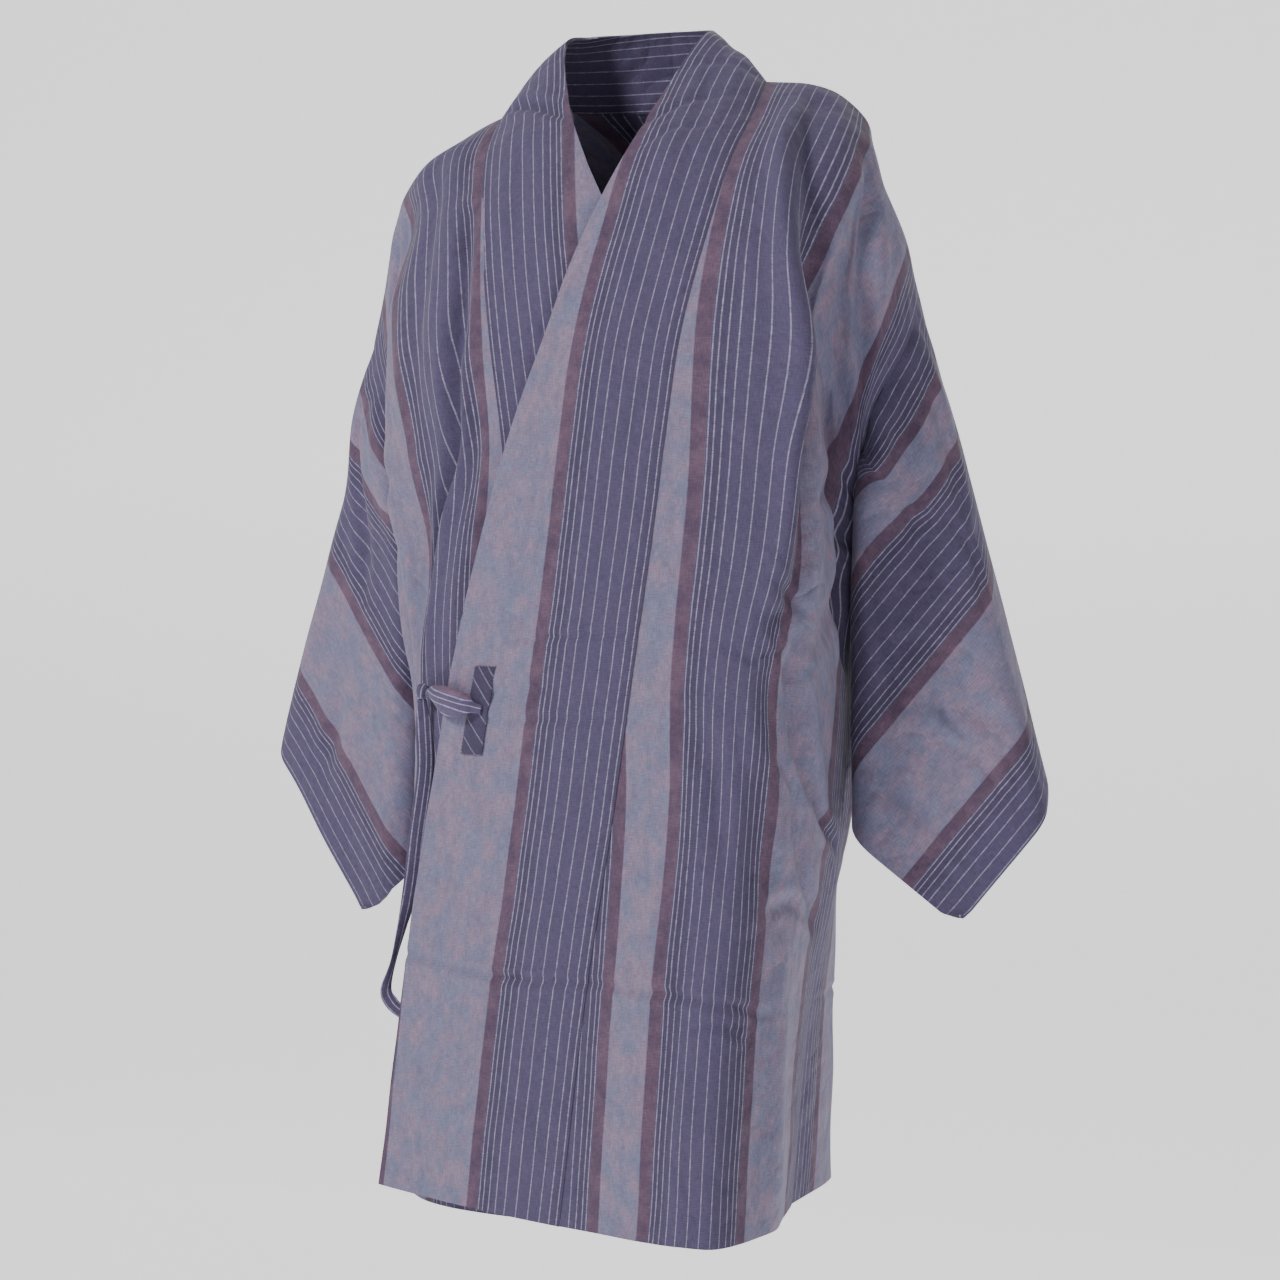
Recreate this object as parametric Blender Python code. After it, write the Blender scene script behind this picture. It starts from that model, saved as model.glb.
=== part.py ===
"""Half-length kimono coat of striped cloth, worn open-hollow with no wearer inside.

Each piece is cut as a maker would cut it: two fronts, two backs, two overlap strips that
run from the back neck to the hem, two sleeves, and the tie with its sewn tab.
Every piece is a thin cloth wall. +X is the wearer's left, -Y the front, +Z up. The origin
is the point between the shoulders where the wearer holds the coat up.
"""
import bmesh
import bpy
import numpy as np
from mathutils.bvhtree import BVHTree
from mathutils.kdtree import KDTree

CM = 0.01
WALL = 0.0017
STRIP_WALL = 0.0026
TIE_WALL = 0.0016
SEAM_GAP = 0.0003
SEAM_REACH = 0.0022
SEAM_SHARE = 1 / 800
FOLD_LEAN = 0.2
SHARP_ANGLE = 0.9

# Cloth sizes in centimetres, measured along the cloth.
COAT_LENGTH = 95.0
NECK_BACK = -14.0
ARMHOLE_DEPTH = 23.0
SLEEVE_WIDTH = 32.0
SLEEVE_DROP = 43.7
CUFF_OPENING = 23.0
BACK_WIDTH = 30.0

# How many cloth squares each piece is divided into.
ARMHOLE_ROWS = 9
LOWER_ROWS = 16
FRONT_COLUMNS = 17
NECK_ROWS = 5
STRIP_COLUMNS = 5
SLEEVE_COLUMNS = 14
SLEEVE_LOWER_ROWS = 8
FOLD_COLUMNS = (0.0, 0.16, 0.55)
FINE = 4
# The right front is made in two solids, so that its collision follows it closely.
SPLIT_ROW = 13

LILAC = (0.17, 0.155, 0.27)
MAUVE_GREY = (0.24, 0.25, 0.34)
PLUM = (0.13, 0.12, 0.21)
MATTE = 0.9

# Sections of one side: v is the distance along the cloth from the shoulder line, and each
# column is a thread line of the front, named by its distance from the armhole edge.
THREADS = ("u0", "u3", "u8", "u13", "u15", "u18")
THREAD_U = {"u0": 0.0, "u3": 3.5, "u8": 8.0, "u13": 12.8, "u15": 15.5, "u18": 18.5}

# Distance from the armhole edge to the strip's seam, at distances along the cloth.
SEAM_AT = (0.0, 20.0, 35.0, 52.0, 64.0, 78.0, 95.0)
SEAM_DISTANCE = (22.6, 22.9, 24.2, 25.4, 27.2, 28.6, 29.6)

LEFT_FRONT = {
    0: dict(u0=(19.9, 7.8, -14.0), u3=(19.4, 5.9, -11.0), u8=(18.5, 3.6, -7.4),
            u13=(18.4, 1.9, -3.3), u15=(16.6, 1.3, -1.5), u18=(14.2, 1.0, -0.5)),
    6: dict(u0=(22.3, 3.2, -17.0), u3=(21.9, 1.2, -13.6), u8=(20.6, -0.6, -9.7),
            u13=(19.5, -3.2, -6.5), u15=(17.0, -4.2, -4.6), u18=(14.6, -4.8, -3.5)),
    12: dict(u0=(22.4, -0.6, -21.0), u3=(21.6, -2.0, -17.6), u8=(20.4, -4.4, -13.3),
             u13=(19.0, -6.0, -10.2), u15=(16.8, -8.3, -8.8), u18=(14.4, -8.8, -7.5)),
    18: dict(u0=(20.0, -2.3, -26.4), u3=(19.8, -3.1, -23.0), u8=(18.9, -5.4, -17.5),
             u13=(17.5, -7.0, -13.8), u15=(16.9, -10.3, -13.9), u18=(14.3, -10.9, -12.6)),
    27: dict(u0=(17.6, 2.6, -36.0), u3=(17.5, -2.3, -31.6), u8=(16.9, -5.6, -23.5),
             u13=(16.0, -8.0, -20.8), u15=(17.6, -11.2, -22.0), u18=(14.2, -12.2, -21.3)),
    35: dict(u0=(17.2, 2.4, -41.8), u3=(17.4, -2.2, -38.0), u8=(16.9, -6.2, -31.5),
             u13=(17.5, -10.2, -30.0), u15=(16.6, -12.2, -29.6), u18=(13.6, -12.9, -29.2)),
    43: dict(u0=(17.1, 1.9, -47.4), u3=(17.5, -2.4, -44.0), u8=(17.6, -6.6, -38.5),
             u13=(17.4, -10.8, -37.4), u15=(15.9, -12.6, -37.0), u18=(13.0, -13.4, -36.6)),
    52: dict(u0=(17.1, 1.1, -53.4), u3=(17.4, -3.0, -50.4), u8=(17.2, -7.8, -46.0),
             u13=(15.6, -12.2, -45.2), u15=(14.2, -13.4, -45.1), u18=(11.8, -14.0, -45.0)),
    64: dict(u0=(16.6, 0.3, -62.2), u3=(16.7, -3.6, -60.4), u8=(16.4, -8.2, -58.2),
             u13=(15.0, -12.5, -57.6), u15=(13.6, -14.5, -57.5), u18=(11.4, -15.0, -57.4)),
    78: dict(u0=(15.0, -1.2, -72.4), u3=(15.3, -4.9, -72.0), u8=(15.4, -9.2, -71.5),
             u13=(14.3, -13.4, -71.2), u15=(12.9, -15.8, -71.1), u18=(10.4, -16.2, -71.0)),
    95: dict(u0=(13.8, -2.4, -88.0), u3=(14.4, -6.0, -88.2), u8=(14.8, -10.4, -88.4),
             u13=(13.5, -14.8, -88.6), u15=(12.2, -17.2, -88.6), u18=(9.6, -17.3, -88.6)),
}

RIGHT_FRONT = {
    0: dict(u0=(-21.0, 7.4, -15.5), u3=(-20.4, 5.6, -12.3), u8=(-19.4, 3.6, -8.9),
            u13=(-18.4, 1.9, -5.3), u15=(-16.3, 1.3, -3.9), u18=(-13.8, 1.0, -2.6)),
    6: dict(u0=(-23.1, 1.8, -18.4), u3=(-22.1, 0.8, -15.2), u8=(-20.8, -0.8, -11.3),
            u13=(-18.8, -2.8, -8.0), u15=(-16.8, -4.0, -6.4), u18=(-14.2, -4.6, -5.4)),
    12: dict(u0=(-22.6, -0.8, -21.8), u3=(-21.3, -1.6, -18.2), u8=(-19.5, -2.8, -14.4),
             u13=(-17.6, -4.0, -11.6), u15=(-15.7, -6.2, -10.4), u18=(-13.2, -7.6, -9.6)),
    18: dict(u0=(-20.8, -1.2, -26.6), u3=(-20.0, -2.2, -23.8), u8=(-19.3, -3.2, -19.4),
             u13=(-18.4, -5.6, -17.0), u15=(-15.4, -8.2, -15.6), u18=(-12.4, -9.5, -14.6)),
    27: dict(u0=(-18.2, 2.6, -36.0), u3=(-19.4, -1.6, -31.2), u8=(-19.7, -3.6, -24.6),
             u13=(-18.1, -6.4, -23.0), u15=(-15.2, -8.2, -22.6), u18=(-12.4, -9.6, -22.0)),
    35: dict(u0=(-18.2, 2.6, -41.8), u3=(-19.1, -2.3, -37.6), u8=(-19.2, -5.2, -31.5),
             u13=(-15.6, -8.2, -31.0), u15=(-13.2, -8.9, -30.4), u18=(-10.9, -10.4, -30.0)),
    43: dict(u0=(-18.2, 2.3, -47.4), u3=(-18.6, -3.0, -43.2), u8=(-17.7, -6.9, -38.0),
             u13=(-14.3, -8.2, -37.2), u15=(-13.2, -9.2, -37.0), u18=(-11.6, -11.4, -36.6)),
    52: dict(u0=(-18.0, 2.2, -53.4), u3=(-17.8, -2.6, -49.4), u8=(-16.6, -6.4, -46.0),
             u13=(-15.0, -8.4, -45.5), u15=(-14.2, -9.6, -45.4), u18=(-12.4, -11.0, -45.2)),
    64: dict(u0=(-17.7, 2.4, -62.0), u3=(-17.8, -0.9, -60.0), u8=(-17.2, -4.8, -58.0),
             u13=(-15.4, -8.4, -57.6), u15=(-13.6, -9.9, -57.5), u18=(-11.2, -11.3, -57.4)),
    78: dict(u0=(-17.5, 2.4, -72.2), u3=(-17.4, -1.4, -71.8), u8=(-16.5, -5.6, -71.5),
             u13=(-14.2, -9.2, -71.2), u15=(-12.0, -10.7, -71.1), u18=(-9.3, -12.0, -71.0)),
    95: dict(u0=(-18.9, 0.8, -88.0), u3=(-18.5, -2.8, -88.2), u8=(-16.9, -6.6, -88.3),
             u13=(-13.9, -9.8, -88.4), u15=(-11.4, -11.2, -88.4), u18=(-8.3, -12.2, -88.4)),
}

# The overlap strips: where each section is sewn to the front, and where its free edge is.
LEFT_STRIP = {
    -14: dict(seam=(0.0, 8.6, -0.9), edge=(0.0, 8.2, 5.5)),
    -9: dict(seam=(5.2, 7.7, -0.7), edge=(3.1, 7.2, 5.3)),
    -4: dict(seam=(8.9, 4.8, -0.3), edge=(4.7, 5.0, 4.8)),
    0: dict(seam=(10.3, 1.0, 0.0), edge=(4.9, 1.8, 3.9)),
    6: dict(seam=(10.8, -4.2, -3.3), edge=(3.7, -4.8, -1.8)),
    12: dict(seam=(10.4, -8.4, -7.2), edge=(2.5, -8.9, -6.2)),
    18: dict(seam=(9.5, -10.6, -12.2), edge=(0.2, -11.5, -12.0)),
    27: dict(seam=(7.6, -12.0, -20.7), edge=(-3.0, -12.6, -20.7)),
    35: dict(seam=(6.7, -12.9, -28.6), edge=(-5.8, -13.2, -28.6)),
    43: dict(seam=(5.9, -13.5, -36.1), edge=(-8.0, -13.2, -36.1)),
    52: dict(seam=(4.7, -13.9, -45.0), edge=(-10.4, -12.7, -44.9)),
    64: dict(seam=(3.0, -14.2, -57.4), edge=(-12.9, -12.0, -57.1)),
    78: dict(seam=(0.9, -14.4, -71.0), edge=(-15.3, -11.4, -70.4)),
    95: dict(seam=(-1.2, -14.5, -88.4), edge=(-17.7, -11.0, -87.0)),
}

RIGHT_STRIP = {
    -14: dict(seam=(0.0, 8.6, -0.9), edge=(0.0, 8.2, 5.5)),
    -9: dict(seam=(-5.2, 7.7, -1.0), edge=(-3.5, 7.2, 5.3)),
    -4: dict(seam=(-9.2, 4.8, -1.1), edge=(-5.8, 5.0, 4.9)),
    0: dict(seam=(-10.8, 1.0, -1.4), edge=(-6.6, 1.8, 4.1)),
    6: dict(seam=(-10.8, -4.2, -4.6), edge=(-4.0, -4.6, -1.7)),
    12: dict(seam=(-9.8, -7.9, -8.9), edge=(-1.2, -8.3, -6.6)),
    18: dict(seam=(-8.9, -10.0, -13.6), edge=(1.9, -10.5, -12.0)),
    27: dict(seam=(-7.8, -11.2, -21.0), edge=(4.2, -11.2, -20.7)),
    35: dict(seam=(-6.5, -12.0, -28.6), edge=(6.4, -11.5, -28.6)),
    43: dict(seam=(-5.9, -12.2, -36.1), edge=(8.4, -11.6, -36.1)),
    52: dict(seam=(-4.6, -12.6, -45.0), edge=(10.0, -11.8, -45.0)),
    64: dict(seam=(-3.0, -12.9, -57.4), edge=(11.2, -12.0, -57.3)),
    78: dict(seam=(-0.9, -13.0, -71.0), edge=(11.6, -12.4, -70.8)),
    95: dict(seam=(1.0, -13.2, -88.4), edge=(12.0, -12.8, -88.2)),
}

# Sections of one back, from the armhole or side edge to the centre seam.
BACK_THREADS = ("u0", "u7", "u15", "u23", "centre")
BACK_THREAD_U = {"u0": 0.0, "u7": 7.0, "u15": 15.0, "u23": 23.0, "centre": BACK_WIDTH}
BACK_ARMHOLE_ROWS = (5, 11, 18)
BACK_EASE = 5.0
BACK = {
    0: dict(u0=(19.9, 7.8, -14.0), u7=(18.6, 4.0, -8.0), u15=(16.6, 1.4, -1.6),
            u23=(10.3, 1.2, -0.1), centre=(0.0, 8.6, -0.9)),
    5: dict(u0=(18.7, 10.7, -17.3), u7=(16.4, 9.6, -12.2), u15=(12.6, 8.4, -7.4),
            u23=(7.2, 9.0, -4.9), centre=(0.0, 10.4, -4.6)),
    11: dict(u0=(18.4, 11.4, -22.9), u7=(15.5, 12.0, -18.4), u15=(11.5, 12.4, -14.2),
             u23=(6.5, 12.2, -11.5), centre=(0.0, 11.9, -10.4)),
    18: dict(u0=(18.5, 8.6, -28.9), u7=(15.6, 11.9, -25.2), u15=(11.4, 13.1, -21.0),
             u23=(6.4, 13.3, -18.2), centre=(0.0, 12.8, -17.4)),
    27: dict(u0=(17.6, 2.6, -36.0), u7=(16.2, 9.6, -34.2), u15=(12.3, 12.8, -29.8),
             u23=(6.8, 13.8, -27.0), centre=(0.0, 13.2, -26.2)),
    43: dict(u0=(17.1, 1.9, -47.4), u7=(15.7, 8.6, -46.4), u15=(12.0, 12.8, -43.4),
             u23=(6.9, 14.4, -42.4), centre=(0.0, 13.4, -42.2)),
    64: dict(u0=(16.6, 0.3, -62.2), u7=(14.9, 6.9, -61.8), u15=(12.3, 11.8, -61.6),
             u23=(7.0, 15.1, -62.2), centre=(0.0, 13.8, -62.4)),
    95: dict(u0=(13.8, -2.4, -88.0), u7=(14.6, 4.2, -87.6), u15=(12.6, 10.6, -87.8),
             u23=(7.2, 16.0, -88.3), centre=(0.0, 14.2, -88.4)),
}

# The sleeves hang as flat bags on the bias. hang is the point on the armhole edge where
# the sleeve's outline starts, hang_s its distance below the shoulder line, turn the angle
# of the cloth's crosswise thread below level, and face the way that the front looks,
# turned from the coat's front towards its side.
LEFT_SLEEVE = dict(side=1, hang=(23.6, 0.2, -19.2), hang_s=9.2, turn=39.5, face=20.0,
                   outer_fold=(32.0, 32.2), inner_fold=((0.0, 18.0), (21.4, SLEEVE_DROP)))
RIGHT_SLEEVE = dict(side=-1, hang=(-23.3, 0.2, -19.4), hang_s=7.8, turn=40.5, face=24.5,
                    outer_fold=(32.0, 25.4), inner_fold=((0.0, 16.5), (27.0, SLEEVE_DROP)))
OUTER_TURNS = ((2.0, 65.0), (11.0, 38.0))
INNER_TURNS = ((1.9, 122.0),)
LAYER_GAP = 1.3
CUFF_GAPE = 1.6
GAPE_STARTS = 24.0
SEWN_CUFF_STARTS = 28.0
SEWN_GAP = 0.42
ARMHOLE_REACH = 13.0
ARMHOLE_GAP = 0.12
HOLD_LENGTH = 4.0
UNDERARM_GAP = 0.7
STRIP_TRIM = 0.07
CLEARANCE = 0.45
SMOOTHINGS = 30
STRIP_BULGE = 0.5
FLANK_FAR = 60.0
FREE_ACROSS = 5.0
FREE_BELOW = 4.0
MOSTLY_FREE = 0.5

# The tab's place on the overlap strip: shares from seam to free edge, and centimetres down.
TAB_ACROSS = (0.735, 0.853)
TAB_DOWN = (52.9, 59.5)
TAB_ROWS = 6
TAB_COLUMNS = 3
SLIT_ROW = 3
SLIT_COLUMN = 1

# The tie, in centimetres. The loop's rows are its share of the way from slit to knot, how
# far it stands out, half its height and half its thickness. The knot's are the way down
# and its two half sizes. The hanging end's are its place, half its width and its turn.
KNOT = (-13.6, -11.6, -47.9)
KNOT_WAY = (-0.2, 0.0, -0.95)
KNOT_RUN = ((-0.62, 0.12, 0.12), (-0.45, 0.42, 0.40), (0.0, 0.56, 0.52), (0.45, 0.42, 0.42),
            (0.62, 0.12, 0.12))
SLIT_OFFSET = (0.0, -0.60, 0.05)
LOOP_OUT = (-0.35, -0.94, 0.0)
LOOP_END = (0.62, -0.1, 0.1)
LOOP = ((0.0, 0.0, 0.60, 0.16), (0.15, 0.34, 0.92, 0.34), (0.4, 0.62, 1.12, 0.55),
        (0.65, 0.62, 0.98, 0.52), (0.88, 0.28, 0.55, 0.36), (1.0, 0.0, 0.20, 0.16))
STRAP = ((-13.7, -11.5, -48.53, 0.35, 20), (-13.8, -10.9, -51.0, 0.62, 22),
         (-13.9, -10.5, -54.3, 0.64, 18), (-14.7, -10.1, -58.8, 0.64, 12),
         (-15.4, -9.9, -63.5, 0.62, 20), (-16.2, -9.8, -66.6, 0.42, 45),
         (-17.0, -9.7, -69.4, 0.36, 75), (-17.7, -9.6, -71.7, 0.46, 40),
         (-17.2, -9.6, -72.8, 0.55, 10), (-16.2, -9.6, -73.6, 0.5, 0))
STRAP_THICK = 0.11
TIE_SIDES = 8


def spline(knots, points, where):
    """Smooth curve through points at uneven knots, read at the places in where."""
    knots = np.asarray(knots, float)
    points = np.asarray(points, float)
    where = np.asarray(where, float)
    step = np.diff(knots)
    slope = np.diff(points, axis=0) / step[:, None]
    tangent = np.empty_like(points)
    tangent[0], tangent[-1] = slope[0], slope[-1]
    weight = (step[1:] / (step[1:] + step[:-1]))[:, None]
    tangent[1:-1] = slope[:-1] * weight + slope[1:] * (1 - weight)
    i = np.clip(np.searchsorted(knots, where, side="right") - 1, 0, len(knots) - 2)
    h = step[i][:, None]
    x = (where - knots[i])[:, None] / h
    start = points[i] * (1 + 2 * x) * (1 - x) ** 2 + tangent[i] * h * x * (1 - x) ** 2
    end = points[i + 1] * x ** 2 * (3 - 2 * x) + tangent[i + 1] * h * x ** 2 * (x - 1)
    return start + end


def column(table, name, where):
    """One named thread line of a section table, read at distances along the cloth."""
    rows = sorted(table)
    return spline(rows, [table[row][name] for row in rows], where)


def seam_reach(v):
    """Distance from the armhole edge to the strip's seam, which slants across the front."""
    return spline(SEAM_AT, np.array(SEAM_DISTANCE)[:, None], v)[:, 0]


def front_grid(front, strip, across, along):
    """Outer points of a front: across runs from side to seam as a share, along is v."""
    lines = [column(front, name, along) for name in THREADS] + [column(strip, "seam", along)]
    reach = seam_reach(along)
    grid = np.empty((len(along), len(across), 3))
    for k in range(len(along)):
        knots = [THREAD_U[name] for name in THREADS] + [reach[k]]
        grid[k] = spline(knots, [line[k] for line in lines], across * reach[k])
    return grid


def strip_grid(strip, across, along):
    """Outer points of an overlap strip, slightly rounded between its seam and free edge."""
    seam = column(strip, "seam", along)
    edge = column(strip, "edge", along)
    seam += unit(edge - seam) * STRIP_TRIM
    run = np.gradient((seam + edge) / 2, axis=0)
    out = np.cross(edge - seam, run)
    out /= np.linalg.norm(out, axis=1)[:, None]
    if out[len(out) // 2, 1] > 0:
        out = -out
    across = across[None, :, None]
    return (seam[:, None] * (1 - across) + edge[:, None] * across
            + out[:, None] * STRIP_BULGE * 4 * across * (1 - across))


def back_grid(front, strip, side, across, along):
    """Outer points of a back, whose top edge is the shoulder and the back neck."""
    rows = sorted(BACK)
    knots = [BACK_THREAD_U[name] for name in BACK_THREADS]
    flip = np.array([side, 1.0, 1.0])
    u = across * BACK_WIDTH
    levels = np.array([spline(knots, [BACK[row][name] for name in BACK_THREADS], u) * flip
                       for row in rows])
    levels[0] = shoulder_and_neck(front, strip, u)
    grid = np.stack([spline(rows, levels[:, j], along) for j in range(len(u))], axis=1)
    edge = back_edge(front, side, along)
    ease = np.exp(-u / BACK_EASE)[None, :, None]
    return grid + (edge - grid[:, 0])[:, None] * ease


def shoulder_and_neck(front, strip, u):
    """The back's top edge: along the shoulder, then round the neck to the centre."""
    neck = seam_reach(np.array([0.0]))[0]
    line = front_grid(front, strip, np.clip(u / neck, 0, 1), np.array([0.0]))[0]
    round_neck = np.clip((u - neck) / (BACK_WIDTH - neck), 0, 1) * NECK_BACK
    return np.where((u <= neck)[:, None], line, column(strip, "seam", round_neck))


def back_edge(front, side, along):
    """The back's outer edge: its armhole, then the side seam that it shares with the front."""
    top = np.array(front[0]["u0"])
    armpit = column(front, "u0", np.array([ARMHOLE_DEPTH]))[0]
    flip = np.array([side, 1.0, 1.0])
    middle = [np.array(BACK[row]["u0"]) * flip + (top - np.array(BACK[0]["u0"]) * flip)
              * (1 - row / ARMHOLE_DEPTH) for row in BACK_ARMHOLE_ROWS]
    armhole = spline((0, *BACK_ARMHOLE_ROWS, ARMHOLE_DEPTH), [top, *middle, armpit],
                     np.clip(along, 0, ARMHOLE_DEPTH))
    return np.where((along < ARMHOLE_DEPTH)[:, None], armhole, column(front, "u0", along))


def curl(arc, turns):
    """How far cloth goes out and back once it has rolled over a crease for a length arc."""
    out = np.zeros_like(arc)
    back = np.zeros_like(arc)
    heading = 0.0
    left = np.maximum(arc, 0.0)
    for radius, degrees in turns:
        turned = np.minimum(left / radius, np.radians(degrees))
        out += radius * (np.sin(heading + turned) - np.sin(heading))
        back += radius * (np.cos(heading) - np.cos(heading + turned))
        left = left - turned * radius
        heading += np.radians(degrees)
    return out + left * np.cos(heading), back + left * np.sin(heading)


def sleeve_sheet(shape, t, s):
    """Front layer of a sleeve: a flat rectangle hung on the bias and rolled at two creases."""
    turn = np.radians(shape["turn"])

    def hung(t_at, s_at):
        drop = s_at - shape["hang_s"]
        return np.stack([t_at * np.cos(turn) - drop * np.sin(turn),
                         t_at * np.sin(turn) + drop * np.cos(turn)], axis=-1)

    flat = hung(t, s)
    back = np.zeros_like(t)
    moved = flat.copy()
    (t_top, s_top), (t_low, s_low) = shape["inner_fold"]
    folds = ((np.zeros(2), hung(*map(np.array, shape["outer_fold"])), 1, OUTER_TURNS),
             (hung(np.array(t_top), np.array(s_top)), hung(np.array(t_low), np.array(s_low)),
              -1, INNER_TURNS))
    for start, end, outward, turns in folds:
        run = (end - start) / np.linalg.norm(end - start)
        normal = np.array([run[1], -run[0]]) * outward
        beyond = (flat - start) @ normal + turns[0][0]
        out, behind = curl(beyond, turns)
        moved += (np.where(beyond > 0, out - beyond, 0.0))[..., None] * normal
        back += behind
    face = np.radians(shape["face"])
    side = shape["side"]
    outward = np.array([side * np.cos(face), np.sin(face), 0.0])
    behind = np.array([-side * np.sin(face), np.cos(face), 0.0])
    return (np.array(shape["hang"]) + moved[..., :1] * outward + back[..., None] * behind
            - moved[..., 1:] * np.array([0.0, 0.0, 1.0]))


def grid_normals(grid):
    """Unit normals of a grid of points, by the cloth's two directions."""
    normal = np.cross(np.gradient(grid, axis=1), np.gradient(grid, axis=0))
    return normal / np.linalg.norm(normal, axis=2)[..., None]


def layer_gap(t, s):
    """Space between the sleeve's two layers, closed at its folds and where it is sewn."""
    edge = np.clip(np.minimum(s, SLEEVE_DROP - s) / (LAYER_GAP / 2), 0, 1)
    rounded = np.sqrt(np.clip(1 - (1 - edge) ** 2, 0, 1))
    near_cuff = smooth_step((t - GAPE_STARTS) / (SLEEVE_WIDTH - GAPE_STARTS))
    sewn = (smooth_step((s - CUFF_OPENING + 1.0) / 3.0)
            * smooth_step((t - SEWN_CUFF_STARTS) / (SLEEVE_WIDTH - SEWN_CUFF_STARTS)))
    gape = CUFF_GAPE * near_cuff * np.sin(np.pi * np.clip(s / CUFF_OPENING, 0, 1)) ** 2
    full = LAYER_GAP + gape
    return (full * (1 - sewn) + SEWN_GAP * sewn) * rounded


def smooth_step(x):
    x = np.clip(x, 0.0, 1.0)
    return x * x * (3 - 2 * x)


def sleeve_layers(shape, front, t_line, s_line):
    """Front and rear layer of a sleeve, pulled in to the armhole that they are sewn to."""
    t, s = np.meshgrid(t_line, s_line, indexing="ij")
    face = sleeve_sheet(shape, t, s)
    normal = grid_normals(face) * shape["side"]
    rear = face - normal * layer_gap(t, s)[..., None]
    reach = smooth_step(1 - t / ARMHOLE_REACH)[..., None]
    rows = armhole_rows()
    sewn = rows[-2]
    at = np.clip(s_line, 0, sewn)
    hold = np.exp(-np.maximum(s_line - sewn, 0) / HOLD_LENGTH)[:, None]
    edges = [np.stack([np.interp(at, rows, edge[:, k]) for k in range(3)], -1)
             for edge in (column(front, "u0", rows), back_edge(front, shape["side"], rows))]
    insides = column(front, "u3", at), column(BACK, "u7", at) * (shape["side"], 1, 1)
    open_part = np.clip((s_line - sewn) / (ARMHOLE_DEPTH - sewn), 0, 1)[:, None]
    for layer, edge, inside in ((face, edges[0], insides[0]), (rear, edges[1], insides[1])):
        run = unit(np.gradient(column(front, "u0", s_line) if layer is face
                               else back_edge(front, shape["side"], s_line), axis=0))
        off = edge - inside
        off = unit(off - (off * run).sum(axis=1)[:, None] * run)
        start = edge + off * ARMHOLE_GAP + open_part * (shape["side"] * UNDERARM_GAP, 0, 0)
        layer += ((start - layer[0]) * hold)[None] * reach
    return face, rear


def armhole_rows():
    return shares(ARMHOLE_ROWS, SEAM_GAP / CM, ARMHOLE_DEPTH)


def clear_of_body(face, rear, side, body, t_line, s_line):
    """Move a sleeve sideways wherever it would lie in the body's flank."""
    free = np.maximum(smooth_step(t_line / FREE_ACROSS)[:, None],
                      smooth_step((s_line - armhole_rows()[-2]) / FREE_BELOW)[None])
    move = np.zeros(face.shape[:2])
    for layer in (face, rear):
        for index in np.ndindex(move.shape):
            x, y, z = layer[index]
            hit = body.ray_cast((side * FLANK_FAR, y, z), (-side, 0.0, 0.0))[0]
            if hit is not None:
                need = side * hit[0] + CLEARANCE - side * x
                move[index] = max(move[index], need * free[index])
    for _ in range(SMOOTHINGS):
        around = np.pad(move, 1, mode="edge")
        mean = (around[:-2, 1:-1] + around[2:, 1:-1] + around[1:-1, :-2] + around[1:-1, 2:]) / 4
        move = np.maximum(move, mean * (free > MOSTLY_FREE))
    shift = move[..., None] * np.array([side, 0.0, 0.0])
    return face + shift, rear + shift


def make_material(name, colour):
    material = bpy.data.materials.new(name)
    material.use_nodes = True
    shader = material.node_tree.nodes["Principled BSDF"]
    shader.inputs["Base Color"].default_value = (*colour, 1.0)
    shader.inputs["Roughness"].default_value = MATTE
    shader.inputs["Metallic"].default_value = 0.0
    return material


def add_piece(name, points, faces, colour):
    """One named object with its own material, its faces turned outwards."""
    mesh = bpy.data.meshes.new(name)
    mesh.from_pydata([tuple(point) for point in points], [], faces)
    work = bmesh.new()
    work.from_mesh(mesh)
    bmesh.ops.recalc_face_normals(work, faces=work.faces[:])
    if work.calc_volume(signed=True) < 0:
        bmesh.ops.reverse_faces(work, faces=work.faces[:])
    work.to_mesh(mesh)
    work.free()
    mesh.shade_smooth()
    mesh.set_sharp_from_angle(angle=SHARP_ANGLE)
    mesh.materials.append(make_material(name, colour))
    piece = bpy.data.objects.new(name, mesh)
    bpy.context.collection.objects.link(piece)
    return piece


def wall_faces(outer, closed):
    """Triangles of a wall of two stacked grids, split along the cloth's own creases."""
    rows, columns = outer.shape[:2]
    count = rows * columns
    across = columns if closed else columns - 1
    faces = []
    for i in range(rows - 1):
        for j in range(across):
            k = (j + 1) % columns
            a, b = i * columns + j, i * columns + k
            c, d = b + columns, a + columns
            falling = np.linalg.norm(outer[i, j] - outer[i + 1, k])
            rising = np.linalg.norm(outer[i, k] - outer[i + 1, j])
            halves = ((a, b, c), (a, c, d)) if falling >= rising else ((a, b, d), (b, c, d))
            for p, q, r in halves:
                faces += [(p, q, r), (p + count, r + count, q + count)]
    rims = [(i * columns + j, i * columns + (j + 1) % columns, i > 0)
            for i in (0, rows - 1) for j in range(across)]
    if not closed:
        rims += [(i * columns + j, (i + 1) * columns + j, j == 0)
                 for j in (0, columns - 1) for i in range(rows - 1)]
    for a, b, turned in rims:
        for rim in ((a, a + count, b + count), (a, b + count, b)):
            faces.append(rim[::-1] if turned else rim)
    return faces


def cloth_wall(name, outer, inward, colour, closed=False, wall=WALL):
    """A closed cloth wall from its outer grid in metres and its unit inward directions."""
    points = np.concatenate([outer.reshape(-1, 3), (outer + inward * wall).reshape(-1, 3)])
    return add_piece(name, points, wall_faces(outer, closed), colour)


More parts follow.
